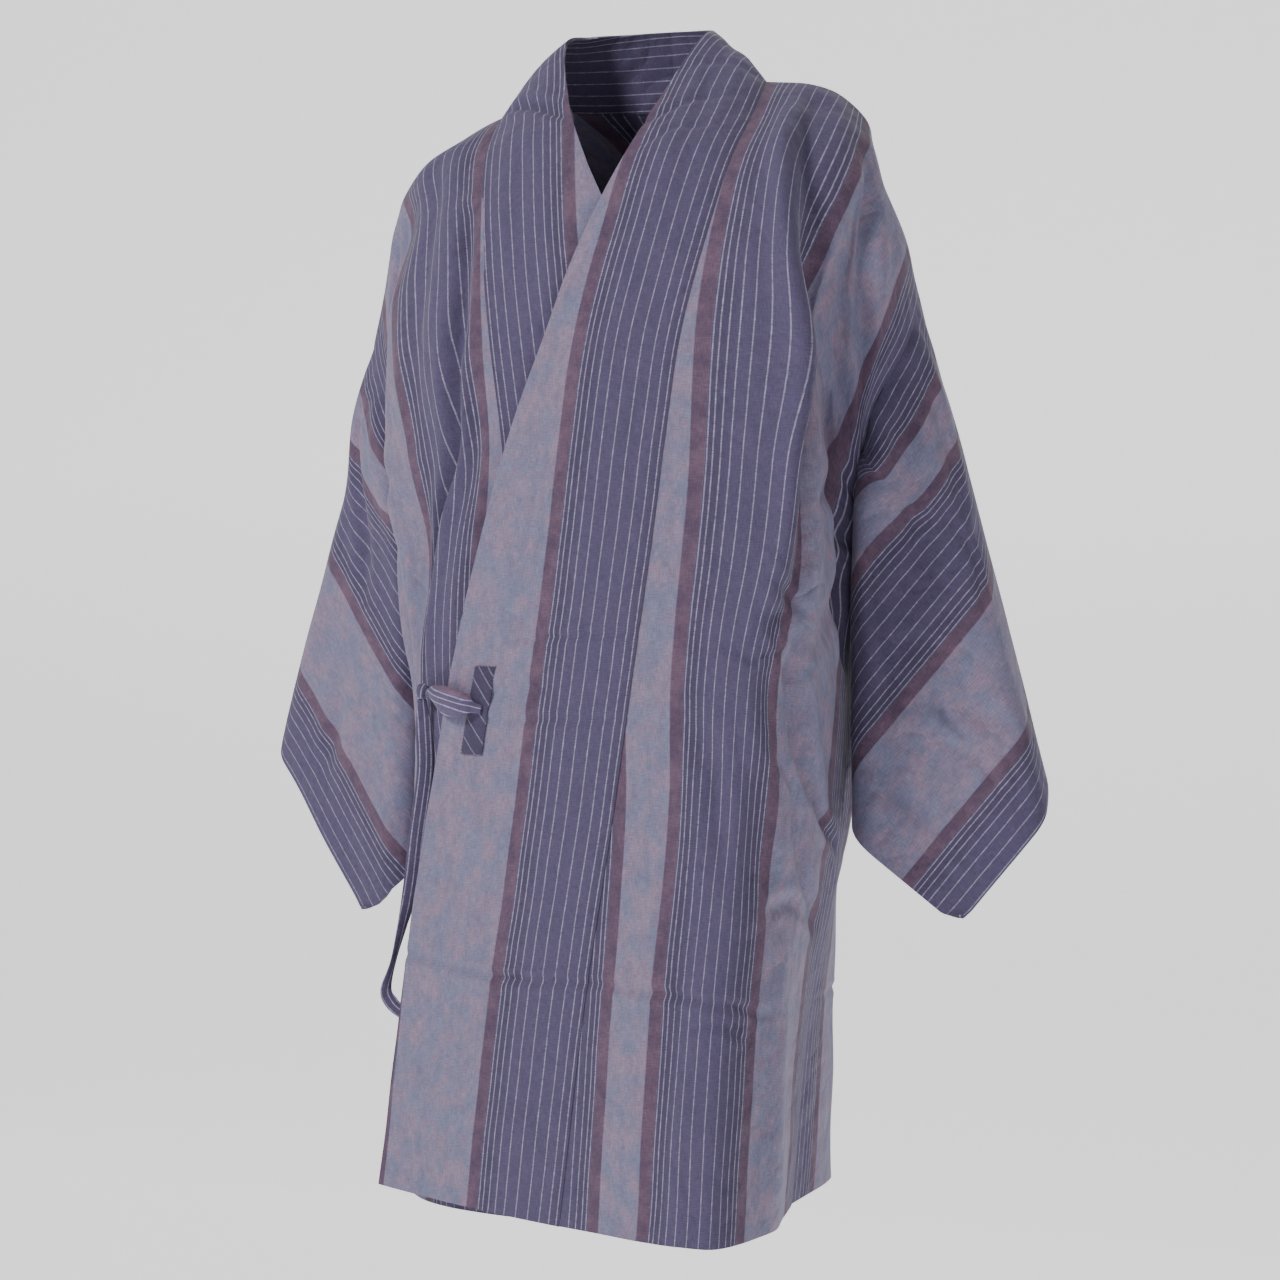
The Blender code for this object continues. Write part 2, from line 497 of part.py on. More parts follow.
def inward_of(grid, outward_hint):
    """Unit directions off a grid, on the side away from the hint at its middle."""
    normal = grid_normals(grid)
    middle = tuple(size // 2 for size in grid.shape[:2])
    return -normal if normal[middle] @ np.array(outward_hint) > 0 else normal


def shares(count, low=0.0, high=1.0):
    return np.linspace(low, high, count + 1)


def unit(vectors):
    return vectors / np.linalg.norm(vectors, axis=-1)[..., None]


def refine(line):
    """A line's places with FINE times as many steps."""
    steps = np.arange(FINE * (len(line) - 1) + 1) / FINE
    return np.interp(steps, np.arange(len(line)), line)


def with_inward(fine_grid, outward_hint):
    """Every FINE-th point of a fine grid in metres, with its inward direction."""
    return fine_grid[::FINE, ::FINE].copy(), inward_of(fine_grid, outward_hint)[::FINE, ::FINE]


def body_rows():
    """Places of the rows down the body and round the neck, in centimetres."""
    along = np.concatenate([armhole_rows(), shares(LOWER_ROWS, ARMHOLE_DEPTH, COAT_LENGTH)[1:]])
    neck = -shares(NECK_ROWS, 0.0, -NECK_BACK - SEAM_GAP / CM)[:0:-1]
    return along, neck


def body_grids():
    """Outer grids of the fronts, backs and strips, all cut at the same rows."""
    along, neck = body_rows()
    across = shares(FRONT_COLUMNS, SEAM_SHARE, 1 - SEAM_SHARE)
    reach = seam_reach(np.array([0.0]))[0]
    back_across = np.concatenate([across * reach, reach - neck[::-1] * (BACK_WIDTH - reach)
                                  / -NECK_BACK]) / BACK_WIDTH
    pieces = {}
    for word, other, side, front, strip in (("left", "overlap", 1, LEFT_FRONT, LEFT_STRIP),
                                            ("right", "underlap", -1, RIGHT_FRONT, RIGHT_STRIP)):
        grid = front_grid(front, strip, refine(across), refine(along)) * CM
        pieces[word + "_front"] = with_inward(grid, (0.3 * side, -1, 0))
        grid = back_grid(front, strip, side, refine(back_across), refine(along)) * CM
        pieces[word + "_back"] = with_inward(grid, (0.2 * side, 1, 0))
        grid = strip_grid(strip, refine(shares(STRIP_COLUMNS)),
                          refine(np.concatenate([neck, along]))) * CM
        pieces[f"{word}_{other}_strip"] = with_inward(grid, (0, -1, 0))
    return pieces


def body_shape(pieces, word):
    """One side's front and back as a single shape that can be measured against."""
    points, faces = [], []
    for name in (word + "_front", word + "_back"):
        grid = pieces[name][0] / CM
        start, (rows, columns) = len(points), grid.shape[:2]
        points += [tuple(point) for point in grid.reshape(-1, 3)]
        faces += [(start + i * columns + j, start + i * columns + j + 1,
                   start + (i + 1) * columns + j + 1, start + (i + 1) * columns + j)
                  for i in range(rows - 1) for j in range(columns - 1)]
    return BVHTree.FromPolygons(points, faces)


def sleeve_grids(pieces):
    """Outer loops of both sleeves, down the front layer and up the rear layer."""
    ends = np.array(FOLD_COLUMNS)
    t_line = shares(SLEEVE_COLUMNS, SEAM_GAP / CM, SLEEVE_WIDTH)
    s_line = np.concatenate([ends, armhole_rows()[1:],
                             shares(SLEEVE_LOWER_ROWS, ARMHOLE_DEPTH, SLEEVE_DROP)[1:-1],
                             SLEEVE_DROP - ends[::-1]])
    t_fine, s_fine = refine(t_line), refine(s_line)
    for word, shape, front in (("left", LEFT_SLEEVE, LEFT_FRONT),
                               ("right", RIGHT_SLEEVE, RIGHT_FRONT)):
        face, rear = sleeve_layers(shape, front, t_fine, s_fine)
        face, rear = clear_of_body(face, rear, shape["side"], body_shape(pieces, word),
                                   t_fine, s_fine)
        loops = np.concatenate([face, rear[:, -2:0:-1]], axis=1) * CM
        around = np.concatenate([loops[:, -1:], loops, loops[:, :1]], axis=1)
        inward = -grid_normals(around)[:, 1:-1] * shape["side"]
        pieces[word + "_sleeve"] = loops[::FINE, ::FINE].copy(), inward[::FINE, ::FINE].copy()


def sew(pieces):
    """Give pieces that meet at a seam one shared inward direction at each place."""
    names = list(pieces)
    owner = [name for name in names for _ in range(pieces[name][0][..., 0].size)]
    points = np.concatenate([pieces[name][0].reshape(-1, 3) for name in names])
    inward = np.concatenate([pieces[name][1].reshape(-1, 3) for name in names])
    tree = KDTree(len(points))
    for index, point in enumerate(points):
        tree.insert(point, index)
    tree.balance()
    shared = inward.copy()
    for index, point in enumerate(points):
        near = [other for _, other, _ in tree.find_range(point, SEAM_REACH)]
        if any(owner[other] != owner[index] for other in near):
            shared[index] = unit(inward[near].sum(axis=0))
    start = 0
    for name in names:
        grid, _ = pieces[name]
        count = grid[..., 0].size
        pieces[name] = grid, shared[start:start + count].reshape(grid.shape)
        start += count
    for name in ("left_sleeve", "right_sleeve"):
        rim = pieces[name][1][0]
        for near, far in ((1, 2), (-1, -2)):
            top, sewn = rim[0].copy(), rim[3 * near].copy()
            rim[near], rim[far] = unit(top + sewn * FOLD_LEAN), unit(sewn + top * FOLD_LEAN)


def split(pieces, name, row):
    """Make one piece of cloth as an upper and a lower solid that meet at a row."""
    grid, inward = pieces.pop(name)
    pieces[name + "_upper"] = grid[:row + 1], inward[:row + 1]
    lower = grid[row:].copy()
    lower[0] += unit(lower[1] - lower[0]) * SEAM_GAP
    pieces[name + "_lower"] = lower, inward[row:]


def on_grid(grid, rows, columns):
    """Points of a grid's own flat squares at fractional rows and columns."""
    i = np.clip(rows.astype(int), 0, grid.shape[0] - 2)
    j = np.clip(columns.astype(int), 0, grid.shape[1] - 2)
    x, y = (rows - i)[..., None], (columns - j)[..., None]
    return ((grid[i, j] * (1 - x) + grid[i + 1, j] * x) * (1 - y)
            + (grid[i, j + 1] * (1 - x) + grid[i + 1, j + 1] * x) * y)


def tie_tab(strip_outer, strip_inward):
    """The bias tab sewn on the overlap strip near its free edge."""
    along, neck = body_rows()
    places = np.concatenate([neck, along])
    rows = np.interp(shares(TAB_ROWS, *TAB_DOWN), places, np.arange(len(places)))
    rows, columns = np.meshgrid(rows, shares(TAB_COLUMNS, *TAB_ACROSS) * STRIP_COLUMNS,
                                indexing="ij")
    surface = on_grid(strip_outer, rows, columns)
    out = -unit(on_grid(strip_inward, rows, columns))
    cloth_wall("tie_tab", surface + out * (SEAM_GAP + TIE_WALL), -out, PLUM, wall=TIE_WALL)
    return surface


def rounded_run(name, centres, along, tall, thick, colour, sides=TIE_SIDES):
    """A soft rounded solid through stations, each with its own height and thickness."""
    centres = np.asarray(centres) * CM
    run = unit(np.gradient(centres, axis=0))
    across = unit(np.asarray(along) - (np.asarray(along) * run).sum(1)[:, None] * run)
    out = np.cross(run, across)
    points = []
    for k, centre in enumerate(centres):
        for step in range(sides):
            angle = 2 * np.pi * step / sides
            points.append(centre + CM * (across[k] * tall[k] * np.cos(angle)
                                         + out[k] * thick[k] * np.sin(angle)))
    faces = []
    for i in range(len(centres) - 1):
        for j in range(sides):
            a, b = i * sides + j, i * sides + (j + 1) % sides
            faces += [(a, b, b + sides), (a, b + sides, a + sides)]
    for start, centre in ((0, centres[0]), ((len(centres) - 1) * sides, centres[-1])):
        points.append(centre)
        faces += [(start + j, start + (j + 1) % sides, len(points) - 1) for j in range(sides)]
    return add_piece(name, points, faces, colour)


def tie(surface):
    """The tied knot, its puffed loop out of the tab's slit, and its hanging end."""
    knot = np.array(KNOT)
    slit = surface[SLIT_ROW, SLIT_COLUMN] / CM + np.array(SLIT_OFFSET)
    share = np.array([row[0] for row in LOOP])
    start, end = slit, knot + np.array(LOOP_END)
    centres = start + (end - start) * share[:, None] + np.outer([row[1] for row in LOOP], LOOP_OUT)
    rounded_run("tie_loop", centres, np.tile((0.0, 0.0, 1.0), (len(LOOP), 1)),
                [row[2] for row in LOOP], [row[3] for row in LOOP], MAUVE_GREY)
    rounded_run("tie_knot", knot + np.outer([row[0] for row in KNOT_RUN], KNOT_WAY),
                np.tile((1.0, 0.0, 0.0), (len(KNOT_RUN), 1)),
                [row[1] for row in KNOT_RUN], [row[2] for row in KNOT_RUN], MAUVE_GREY)
    stations = np.array([row[:3] for row in STRAP])
    turned = np.radians([row[4] for row in STRAP])
    flat = np.stack([np.cos(turned), np.sin(turned), np.zeros(len(STRAP))], -1)
    rounded_run("tie_hanging_end", stations, flat, [row[3] for row in STRAP],
                [STRAP_THICK] * len(STRAP), MAUVE_GREY)


def main():
    for thing in list(bpy.data.objects):
        bpy.data.objects.remove(thing)
    pieces = body_grids()
    sleeve_grids(pieces)
    sew(pieces)
    split(pieces, "right_front", SPLIT_ROW)
    for name, (grid, inward) in pieces.items():
        strip = name.endswith("strip")
        cloth_wall(name, grid, inward, MAUVE_GREY if strip else LILAC,
                   closed=name.endswith("sleeve"), wall=STRIP_WALL if strip else WALL)
    tie(tie_tab(*pieces["left_overlap_strip"]))


main()
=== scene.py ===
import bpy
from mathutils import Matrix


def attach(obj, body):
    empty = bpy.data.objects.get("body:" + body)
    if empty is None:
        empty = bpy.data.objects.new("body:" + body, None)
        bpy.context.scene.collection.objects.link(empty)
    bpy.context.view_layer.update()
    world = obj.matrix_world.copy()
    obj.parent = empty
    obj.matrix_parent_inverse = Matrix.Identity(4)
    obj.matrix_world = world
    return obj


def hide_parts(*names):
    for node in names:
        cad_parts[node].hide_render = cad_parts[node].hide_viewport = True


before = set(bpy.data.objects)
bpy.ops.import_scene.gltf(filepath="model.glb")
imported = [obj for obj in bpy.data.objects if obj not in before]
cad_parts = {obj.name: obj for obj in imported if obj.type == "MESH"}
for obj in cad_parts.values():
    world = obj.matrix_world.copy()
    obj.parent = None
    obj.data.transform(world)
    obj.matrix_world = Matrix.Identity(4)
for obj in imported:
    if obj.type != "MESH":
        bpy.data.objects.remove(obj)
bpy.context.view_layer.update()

import bmesh
import bpy
import numpy as np
from bpy.props import FloatProperty, PointerProperty
from mathutils import Vector
from mathutils.bvhtree import BVHTree

# The coat's cloth, dressed over the solids of the part: each piece is a thin shell on its
# solid's own form, with the main creases in it and the woven stripes placed in cloth metres.
bl_info = {
    "name": "Kimono coat",
    "version": (1, 0, 0),
    "blender": (4, 5, 0),
    "location": "View3D > Sidebar > Kimono coat",
    "description": "Dresses a half-length kimono coat in striped cloth",
    "category": "Object",
}

CM = 0.01
MM = 0.001

# Walls, seams and lifts, in metres.
WALL = 0.0015
STRIP_WALL = 0.0024
TIE_WALL = 0.0012
SEAM_GAP = 0.0003
STRIP_LIFT = 0.0008
TAB_LIFT = 0.0013
TAB_RISE = 0.0007
SLIT_RISE = 0.0009
STITCH_LIFT = 0.0002

# A crease's cross section and ends, and how far from a held edge it has reached its depth.
# One narrower than the sharp width has a sharper trough, and each has a low swell on both
# sides, placed and raised as shares of its width and depth.
SHARP_CREASE = 0.5
SHARP_POWER = 1.2
SOFT_POWER = 2.0
SWELL_PLACE = 1.9
SWELL_SHARE = 0.35
CREASE_INSET = 0.05
END_POWER = 0.6
HELD_FADE = 1.4

# The slow waves: how many are laid over each other, their turns in radians, their lengths in
# centimetres with the steps that choose one of them, and how far from a seam they have grown
# to their height.
WAVES = 5
WAVE_TURN = 2.4
SEED_TURN = 1.7
SHORTEST_WAVE = 7.0
WAVE_STEP = 3.1
WAVE_LENGTHS = 4
SEED_STEP = 3
NEXT_STEP = 5
WAVE_FADE = 2.5

# Cloth sizes in centimetres, measured along the cloth.
COAT_LENGTH = 95.0
NECK_BACK = -14.0
ARMHOLE_DEPTH = 23.0
SLEEVE_WIDTH = 32.0
SLEEVE_DROP = 43.7
CUFF_OPENING = 23.0
BACK_WIDTH = 30.0

# How finely the meshes are divided, and the rough body that the sleeves are held clear of.
# A sleeve's rows lie closer together by its folds, at the named distances from them.
STRIP_WIDTH = 17.0
ARMHOLE_ROWS = 9
SLEEVE_COLUMN_SHARE = 1.2
SLEEVE_EDGE = (0.0, 0.08, 0.2, 0.4)
SLEEVE_ROWS_START = 0.7
SLEEVE_ROWS_END = 0.6
BODY_COLUMNS = {"front": 17, "back": 20}
BODY_ROWS = 24
SHARP_ANGLE = 1.1

# A sleeve's rounded lower corner in centimetres, and the rows that give its direction.
CORNER_ROUND = 1.8
CORNER_RUN = 20

# What each kind of sheet takes: the way it looks, to its own side and to the back, the seed
# and the height of its waves, its stripes' place and its wall.
SHEETS = {
    "front": dict(looks=(0.3, -1.0), seed=2, waves=1.0, phase=51.0, wall=WALL),
    "back": dict(looks=(0.2, 1.0), seed=5, waves=1.0, phase=51.0, wall=WALL),
    "strip": dict(looks=(0.0, -1.0), seed=8, waves=0.8, phase=7.5, wall=STRIP_WALL),
}
SLEEVE_SEED = 11
FORWARDS = (0.0, -1.0, 0.0)

# The cut of what shows, in metres and square metres.
BODY_FLAT = (0.30, 0.95)

# The solids that each front stands for.
FRONT_NODES = {"left": ("left_front",), "right": ("right_front_upper", "right_front_lower")}

# The stripes across the cloth, in millimetres. Bands with pin stripes lie at the centres,
# plum edges beside them and light ground between. Each soft value is half an edge's blur.
STRIPE_REPEAT = 320.0
BAND_CENTRES = (40.5, 224.5, 360.5)
BAND_HALF = 40.5
BAND_SOFT = 0.4
PLUM_WIDTH = 10.0
PLUM_SOFT = 0.5
PIN_PLACES = (5.3, 15.5, 23.9, 30.3, 35.5, 39.3)
PIN_HALF = 0.42
PIN_SOFT = 0.25
DRIFT = 1.6

# Where in the repeat the edge of a sleeve, the tab or the tie lies. The whole repeats keep
# the sum above nought.
WHOLE_REPEATS = 10 * STRIPE_REPEAT
SLEEVE_PHASES = {"left": 231.6, "right": 243.6}
TAB_PHASE = 5.0
TIE_PHASE = 75.0

# Painted light and shade on the tie: how light each part is beside the coat. The loop, knot and
# hanging end are the coat's cloth made lighter as painted light, and the tab under the loop is made
# darker as painted shade.
TAB_PAINTED_SHADE = 0.72
LOOP_PAINTED_LIGHT = 1.3
KNOT_PAINTED_LIGHT = 1.25
STRAP_PAINTED_LIGHT = 1.12

LIGHT_BLUE = (0.1946, 0.1912, 0.2961, 1.0)
LIGHT_PINK = (0.2664, 0.2016, 0.2874, 1.0)
LIGHT_DEEP = (0.1384, 0.1413, 0.2384, 1.0)
PLUM_DEEP = (0.0931, 0.0595, 0.1046, 1.0)
PLUM_WARM = (0.1441, 0.0887, 0.1384, 1.0)
BAND_GROUND = (0.0887, 0.0742, 0.1441, 1.0)
BAND_DEEP = (0.0578, 0.0467, 0.0908, 1.0)
BAND_WARM = (0.1119, 0.0802, 0.1529, 1.0)
PIN_COLOUR = (0.3419, 0.3185, 0.4452, 1.0)
THREAD_COLOUR = (0.0931, 0.0802, 0.1384, 1.0)
PAPER_COLOUR = (0.93, 0.93, 0.935, 1.0)
WHITE = (1.0, 1.0, 1.0, 1.0)

# Noise over the cloth: stretch across and along, seed, scale, detail and roughness.
NOISES = {
    "drift": (1.0, 1.0, 0.0, 0.012, 1.0, 0.5),
    "warp": (1.5, 0.16, 0.0, 1.0, 2.0, 0.5),
    "weft": (0.16, 1.5, 4.0, 1.0, 2.0, 0.5),
    "patch": (1.0, 0.8, 9.0, 0.062, 3.0, 0.6),
    "cloud": (1.6, 0.5, 2.0, 0.09, 3.0, 0.6),
    "rumple": (1.0, 0.8, 5.0, 0.045, 2.0, 0.5),
    "pinch": (0.9, 1.0, 7.0, 0.028, 1.5, 0.5),
}

# Where one tint gives way to the next: the value from which it starts, the value from which
# it is full, and the most that it covers.
PINK_OVER_BLUE = (0.36, 0.64, 1.0)
DEEP_OVER_LIGHT = (0.35, 0.72, 0.5)
WARM_OVER_PLUM = (0.3, 0.7, 1.0)
DEEP_OVER_BAND = (20.0, 34.0, 0.55)
WARM_OVER_BAND = (0.35, 0.75, 0.35)
PIN_SHARE = 0.72
PIN_GRAIN = 1.2
GRAIN_SHADE = 0.75

# The bump of the cloth: its strength and its height in metres.
SOFT_BUMP = {"Strength": 0.8, "Distance": 0.0045}
WEAVE_BUMP = {"Strength": 0.55, "Distance": 0.00035}
PINCH_SHARE = 1.8
PIN_RAISED = 0.3

CLOTH_FINISH = {"Roughness": 0.92, "Specular IOR Level": 0.22, "Sheen Weight": 0.12,
                "Sheen Roughness": 0.5}
THREAD_FINISH = {"Base Color": THREAD_COLOUR, "Roughness": 0.9}
PAPER_FINISH = {"Base Color": PAPER_COLOUR, "Roughness": 0.95, "Emission Color": WHITE,
                "Emission Strength": 0.75}

# The studio, in metres. The paper's floor runs level, bends up and ends in a wall.
CENTRE = (0.0023, 0.0008, -0.441)
EYE_HEIGHT = -0.361
VIEW_END = 50.0
PAPER_FRONT = -9.0
PAPER_BEND_AT = 2.2
BEND = 1.2
BEND_STEPS = 16
BEND_START = 0.05
PAPER_TOP = 7.0
PAPER_HALF = 7.0
LAMPS = (("key_light", (-1.3, -2.5, 1.65), 0.8, "key"),
         ("side_light", (2.2, -2.0, 0.3), 1.6, "fill"),
         ("top_light", (-0.3, 0.2, 1.9), 1.2, "fill"))

# Sections of one side: v is the distance along the cloth from the shoulder line, and each
# column is a thread line of the front, named by its distance from the armhole edge.
THREAD_U = {"u0": 0.0, "u3": 3.5, "u8": 8.0, "u13": 12.8, "u15": 15.5, "u18": 18.5}

# Distance from the armhole edge to the strip's seam, at distances along the cloth.
SEAM_AT = (0.0, 20.0, 35.0, 52.0, 64.0, 78.0, 95.0)
SEAM_DISTANCE = (22.6, 22.9, 24.2, 25.4, 27.2, 28.6, 29.6)

LEFT_FRONT = {
    0: dict(u0=(19.9, 7.8, -14.0), u3=(19.4, 5.9, -11.0), u8=(18.5, 3.6, -7.4),
            u13=(18.4, 1.9, -3.3), u15=(16.6, 1.3, -1.5), u18=(14.2, 1.0, -0.5)),
    6: dict(u0=(22.3, 3.2, -17.0), u3=(21.9, 1.2, -13.6), u8=(20.6, -0.6, -9.7),
            u13=(19.5, -3.2, -6.5), u15=(17.0, -4.2, -4.6), u18=(14.6, -4.8, -3.5)),
    12: dict(u0=(22.4, -0.6, -21.0), u3=(21.6, -2.0, -17.6), u8=(20.4, -4.4, -13.3),
             u13=(19.0, -6.0, -10.2), u15=(16.8, -8.3, -8.8), u18=(14.4, -8.8, -7.5)),
    18: dict(u0=(20.0, -2.3, -26.4), u3=(19.8, -3.1, -23.0), u8=(18.9, -5.4, -17.5),
             u13=(17.5, -7.0, -13.8), u15=(16.9, -10.3, -13.9), u18=(14.3, -10.9, -12.6)),
    27: dict(u0=(17.6, 2.6, -36.0), u3=(17.5, -2.3, -31.6), u8=(16.9, -5.6, -23.5),
             u13=(16.0, -8.0, -20.8), u15=(17.6, -11.2, -22.0), u18=(14.2, -12.2, -21.3)),
    35: dict(u0=(17.2, 2.4, -41.8), u3=(17.4, -2.2, -38.0), u8=(16.9, -6.2, -31.5),
             u13=(17.5, -10.2, -30.0), u15=(16.6, -12.2, -29.6), u18=(13.6, -12.9, -29.2)),
    43: dict(u0=(17.1, 1.9, -47.4), u3=(17.5, -2.4, -44.0), u8=(17.6, -6.6, -38.5),
             u13=(17.4, -10.8, -37.4), u15=(15.9, -12.6, -37.0), u18=(13.0, -13.4, -36.6)),
    52: dict(u0=(17.1, 1.1, -53.4), u3=(17.4, -3.0, -50.4), u8=(17.2, -7.8, -46.0),
             u13=(15.6, -12.2, -45.2), u15=(14.2, -13.4, -45.1), u18=(11.8, -14.0, -45.0)),
    64: dict(u0=(16.6, 0.3, -62.2), u3=(16.7, -3.6, -60.4), u8=(16.4, -8.2, -58.2),
             u13=(15.0, -12.5, -57.6), u15=(13.6, -14.5, -57.5), u18=(11.4, -15.0, -57.4)),
    78: dict(u0=(15.0, -1.2, -72.4), u3=(15.3, -4.9, -72.0), u8=(15.4, -9.2, -71.5),
             u13=(14.3, -13.4, -71.2), u15=(12.9, -15.8, -71.1), u18=(10.4, -16.2, -71.0)),
    95: dict(u0=(13.8, -2.4, -88.0), u3=(14.4, -6.0, -88.2), u8=(14.8, -10.4, -88.4),
             u13=(13.5, -14.8, -88.6), u15=(12.2, -17.2, -88.6), u18=(9.6, -17.3, -88.6)),
}

RIGHT_FRONT = {
    0: dict(u0=(-21.0, 7.4, -15.5), u3=(-20.4, 5.6, -12.3), u8=(-19.4, 3.6, -8.9),
            u13=(-18.4, 1.9, -5.3), u15=(-16.3, 1.3, -3.9), u18=(-13.8, 1.0, -2.6)),
    6: dict(u0=(-23.1, 1.8, -18.4), u3=(-22.1, 0.8, -15.2), u8=(-20.8, -0.8, -11.3),
            u13=(-18.8, -2.8, -8.0), u15=(-16.8, -4.0, -6.4), u18=(-14.2, -4.6, -5.4)),
    12: dict(u0=(-22.6, -0.8, -21.8), u3=(-21.3, -1.6, -18.2), u8=(-19.5, -2.8, -14.4),
             u13=(-17.6, -4.0, -11.6), u15=(-15.7, -6.2, -10.4), u18=(-13.2, -7.6, -9.6)),
    18: dict(u0=(-20.8, -1.2, -26.6), u3=(-20.0, -2.2, -23.8), u8=(-19.3, -3.2, -19.4),
             u13=(-18.4, -5.6, -17.0), u15=(-15.4, -8.2, -15.6), u18=(-12.4, -9.5, -14.6)),
    27: dict(u0=(-18.2, 2.6, -36.0), u3=(-19.4, -1.6, -31.2), u8=(-19.7, -3.6, -24.6),
             u13=(-18.1, -6.4, -23.0), u15=(-15.2, -8.2, -22.6), u18=(-12.4, -9.6, -22.0)),
    35: dict(u0=(-18.2, 2.6, -41.8), u3=(-19.1, -2.3, -37.6), u8=(-19.2, -5.2, -31.5),
             u13=(-15.6, -8.2, -31.0), u15=(-13.2, -8.9, -30.4), u18=(-10.9, -10.4, -30.0)),
    43: dict(u0=(-18.2, 2.3, -47.4), u3=(-18.6, -3.0, -43.2), u8=(-17.7, -6.9, -38.0),
             u13=(-14.3, -8.2, -37.2), u15=(-13.2, -9.2, -37.0), u18=(-11.6, -11.4, -36.6)),
    52: dict(u0=(-18.0, 2.2, -53.4), u3=(-17.8, -2.6, -49.4), u8=(-16.6, -6.4, -46.0),
             u13=(-15.0, -8.4, -45.5), u15=(-14.2, -9.6, -45.4), u18=(-12.4, -11.0, -45.2)),
    64: dict(u0=(-17.7, 2.4, -62.0), u3=(-17.8, -0.9, -60.0), u8=(-17.2, -4.8, -58.0),
             u13=(-15.4, -8.4, -57.6), u15=(-13.6, -9.9, -57.5), u18=(-11.2, -11.3, -57.4)),
    78: dict(u0=(-17.5, 2.4, -72.2), u3=(-17.4, -1.4, -71.8), u8=(-16.5, -5.6, -71.5),
             u13=(-14.2, -9.2, -71.2), u15=(-12.0, -10.7, -71.1), u18=(-9.3, -12.0, -71.0)),
    95: dict(u0=(-18.9, 0.8, -88.0), u3=(-18.5, -2.8, -88.2), u8=(-16.9, -6.6, -88.3),
             u13=(-13.9, -9.8, -88.4), u15=(-11.4, -11.2, -88.4), u18=(-8.3, -12.2, -88.4)),
}

# The overlap strips: where each section is sewn to the front, and where its free edge is.
LEFT_STRIP = {
    -14: dict(seam=(0.0, 8.6, -0.9), edge=(0.0, 8.2, 5.5)),
    -9: dict(seam=(5.2, 7.7, -0.7), edge=(3.1, 7.2, 5.3)),
    -4: dict(seam=(8.9, 4.8, -0.3), edge=(4.7, 5.0, 4.8)),
    0: dict(seam=(10.3, 1.0, 0.0), edge=(4.9, 1.8, 3.9)),
    6: dict(seam=(10.8, -4.2, -3.3), edge=(3.7, -4.8, -1.8)),
    12: dict(seam=(10.4, -8.4, -7.2), edge=(2.5, -8.9, -6.2)),
    18: dict(seam=(9.5, -10.6, -12.2), edge=(0.2, -11.5, -12.0)),
    27: dict(seam=(7.6, -12.0, -20.7), edge=(-3.0, -12.6, -20.7)),
    35: dict(seam=(6.7, -12.9, -28.6), edge=(-5.8, -13.2, -28.6)),
    43: dict(seam=(5.9, -13.5, -36.1), edge=(-8.0, -13.2, -36.1)),
    52: dict(seam=(4.7, -13.9, -45.0), edge=(-10.4, -12.7, -44.9)),
    64: dict(seam=(3.0, -14.2, -57.4), edge=(-12.9, -12.0, -57.1)),
    78: dict(seam=(0.9, -14.4, -71.0), edge=(-15.3, -11.4, -70.4)),
    95: dict(seam=(-1.2, -14.5, -88.4), edge=(-17.7, -11.0, -87.0)),
}

RIGHT_STRIP = {
    -14: dict(seam=(0.0, 8.6, -0.9), edge=(0.0, 8.2, 5.5)),
    -9: dict(seam=(-5.2, 7.7, -1.0), edge=(-3.5, 7.2, 5.3)),
    -4: dict(seam=(-9.2, 4.8, -1.1), edge=(-5.8, 5.0, 4.9)),
    0: dict(seam=(-10.8, 1.0, -1.4), edge=(-6.6, 1.8, 4.1)),
    6: dict(seam=(-10.8, -4.2, -4.6), edge=(-4.0, -4.6, -1.7)),
    12: dict(seam=(-9.8, -7.9, -8.9), edge=(-1.2, -8.3, -6.6)),
    18: dict(seam=(-8.9, -10.0, -13.6), edge=(1.9, -10.5, -12.0)),
    27: dict(seam=(-7.8, -11.2, -21.0), edge=(4.2, -11.2, -20.7)),
    35: dict(seam=(-6.5, -12.0, -28.6), edge=(6.4, -11.5, -28.6)),
    43: dict(seam=(-5.9, -12.2, -36.1), edge=(8.4, -11.6, -36.1)),
    52: dict(seam=(-4.6, -12.6, -45.0), edge=(10.0, -11.8, -45.0)),
    64: dict(seam=(-3.0, -12.9, -57.4), edge=(11.2, -12.0, -57.3)),
    78: dict(seam=(-0.9, -13.0, -71.0), edge=(11.6, -12.4, -70.8)),
    95: dict(seam=(1.0, -13.2, -88.4), edge=(12.0, -12.8, -88.2)),
}

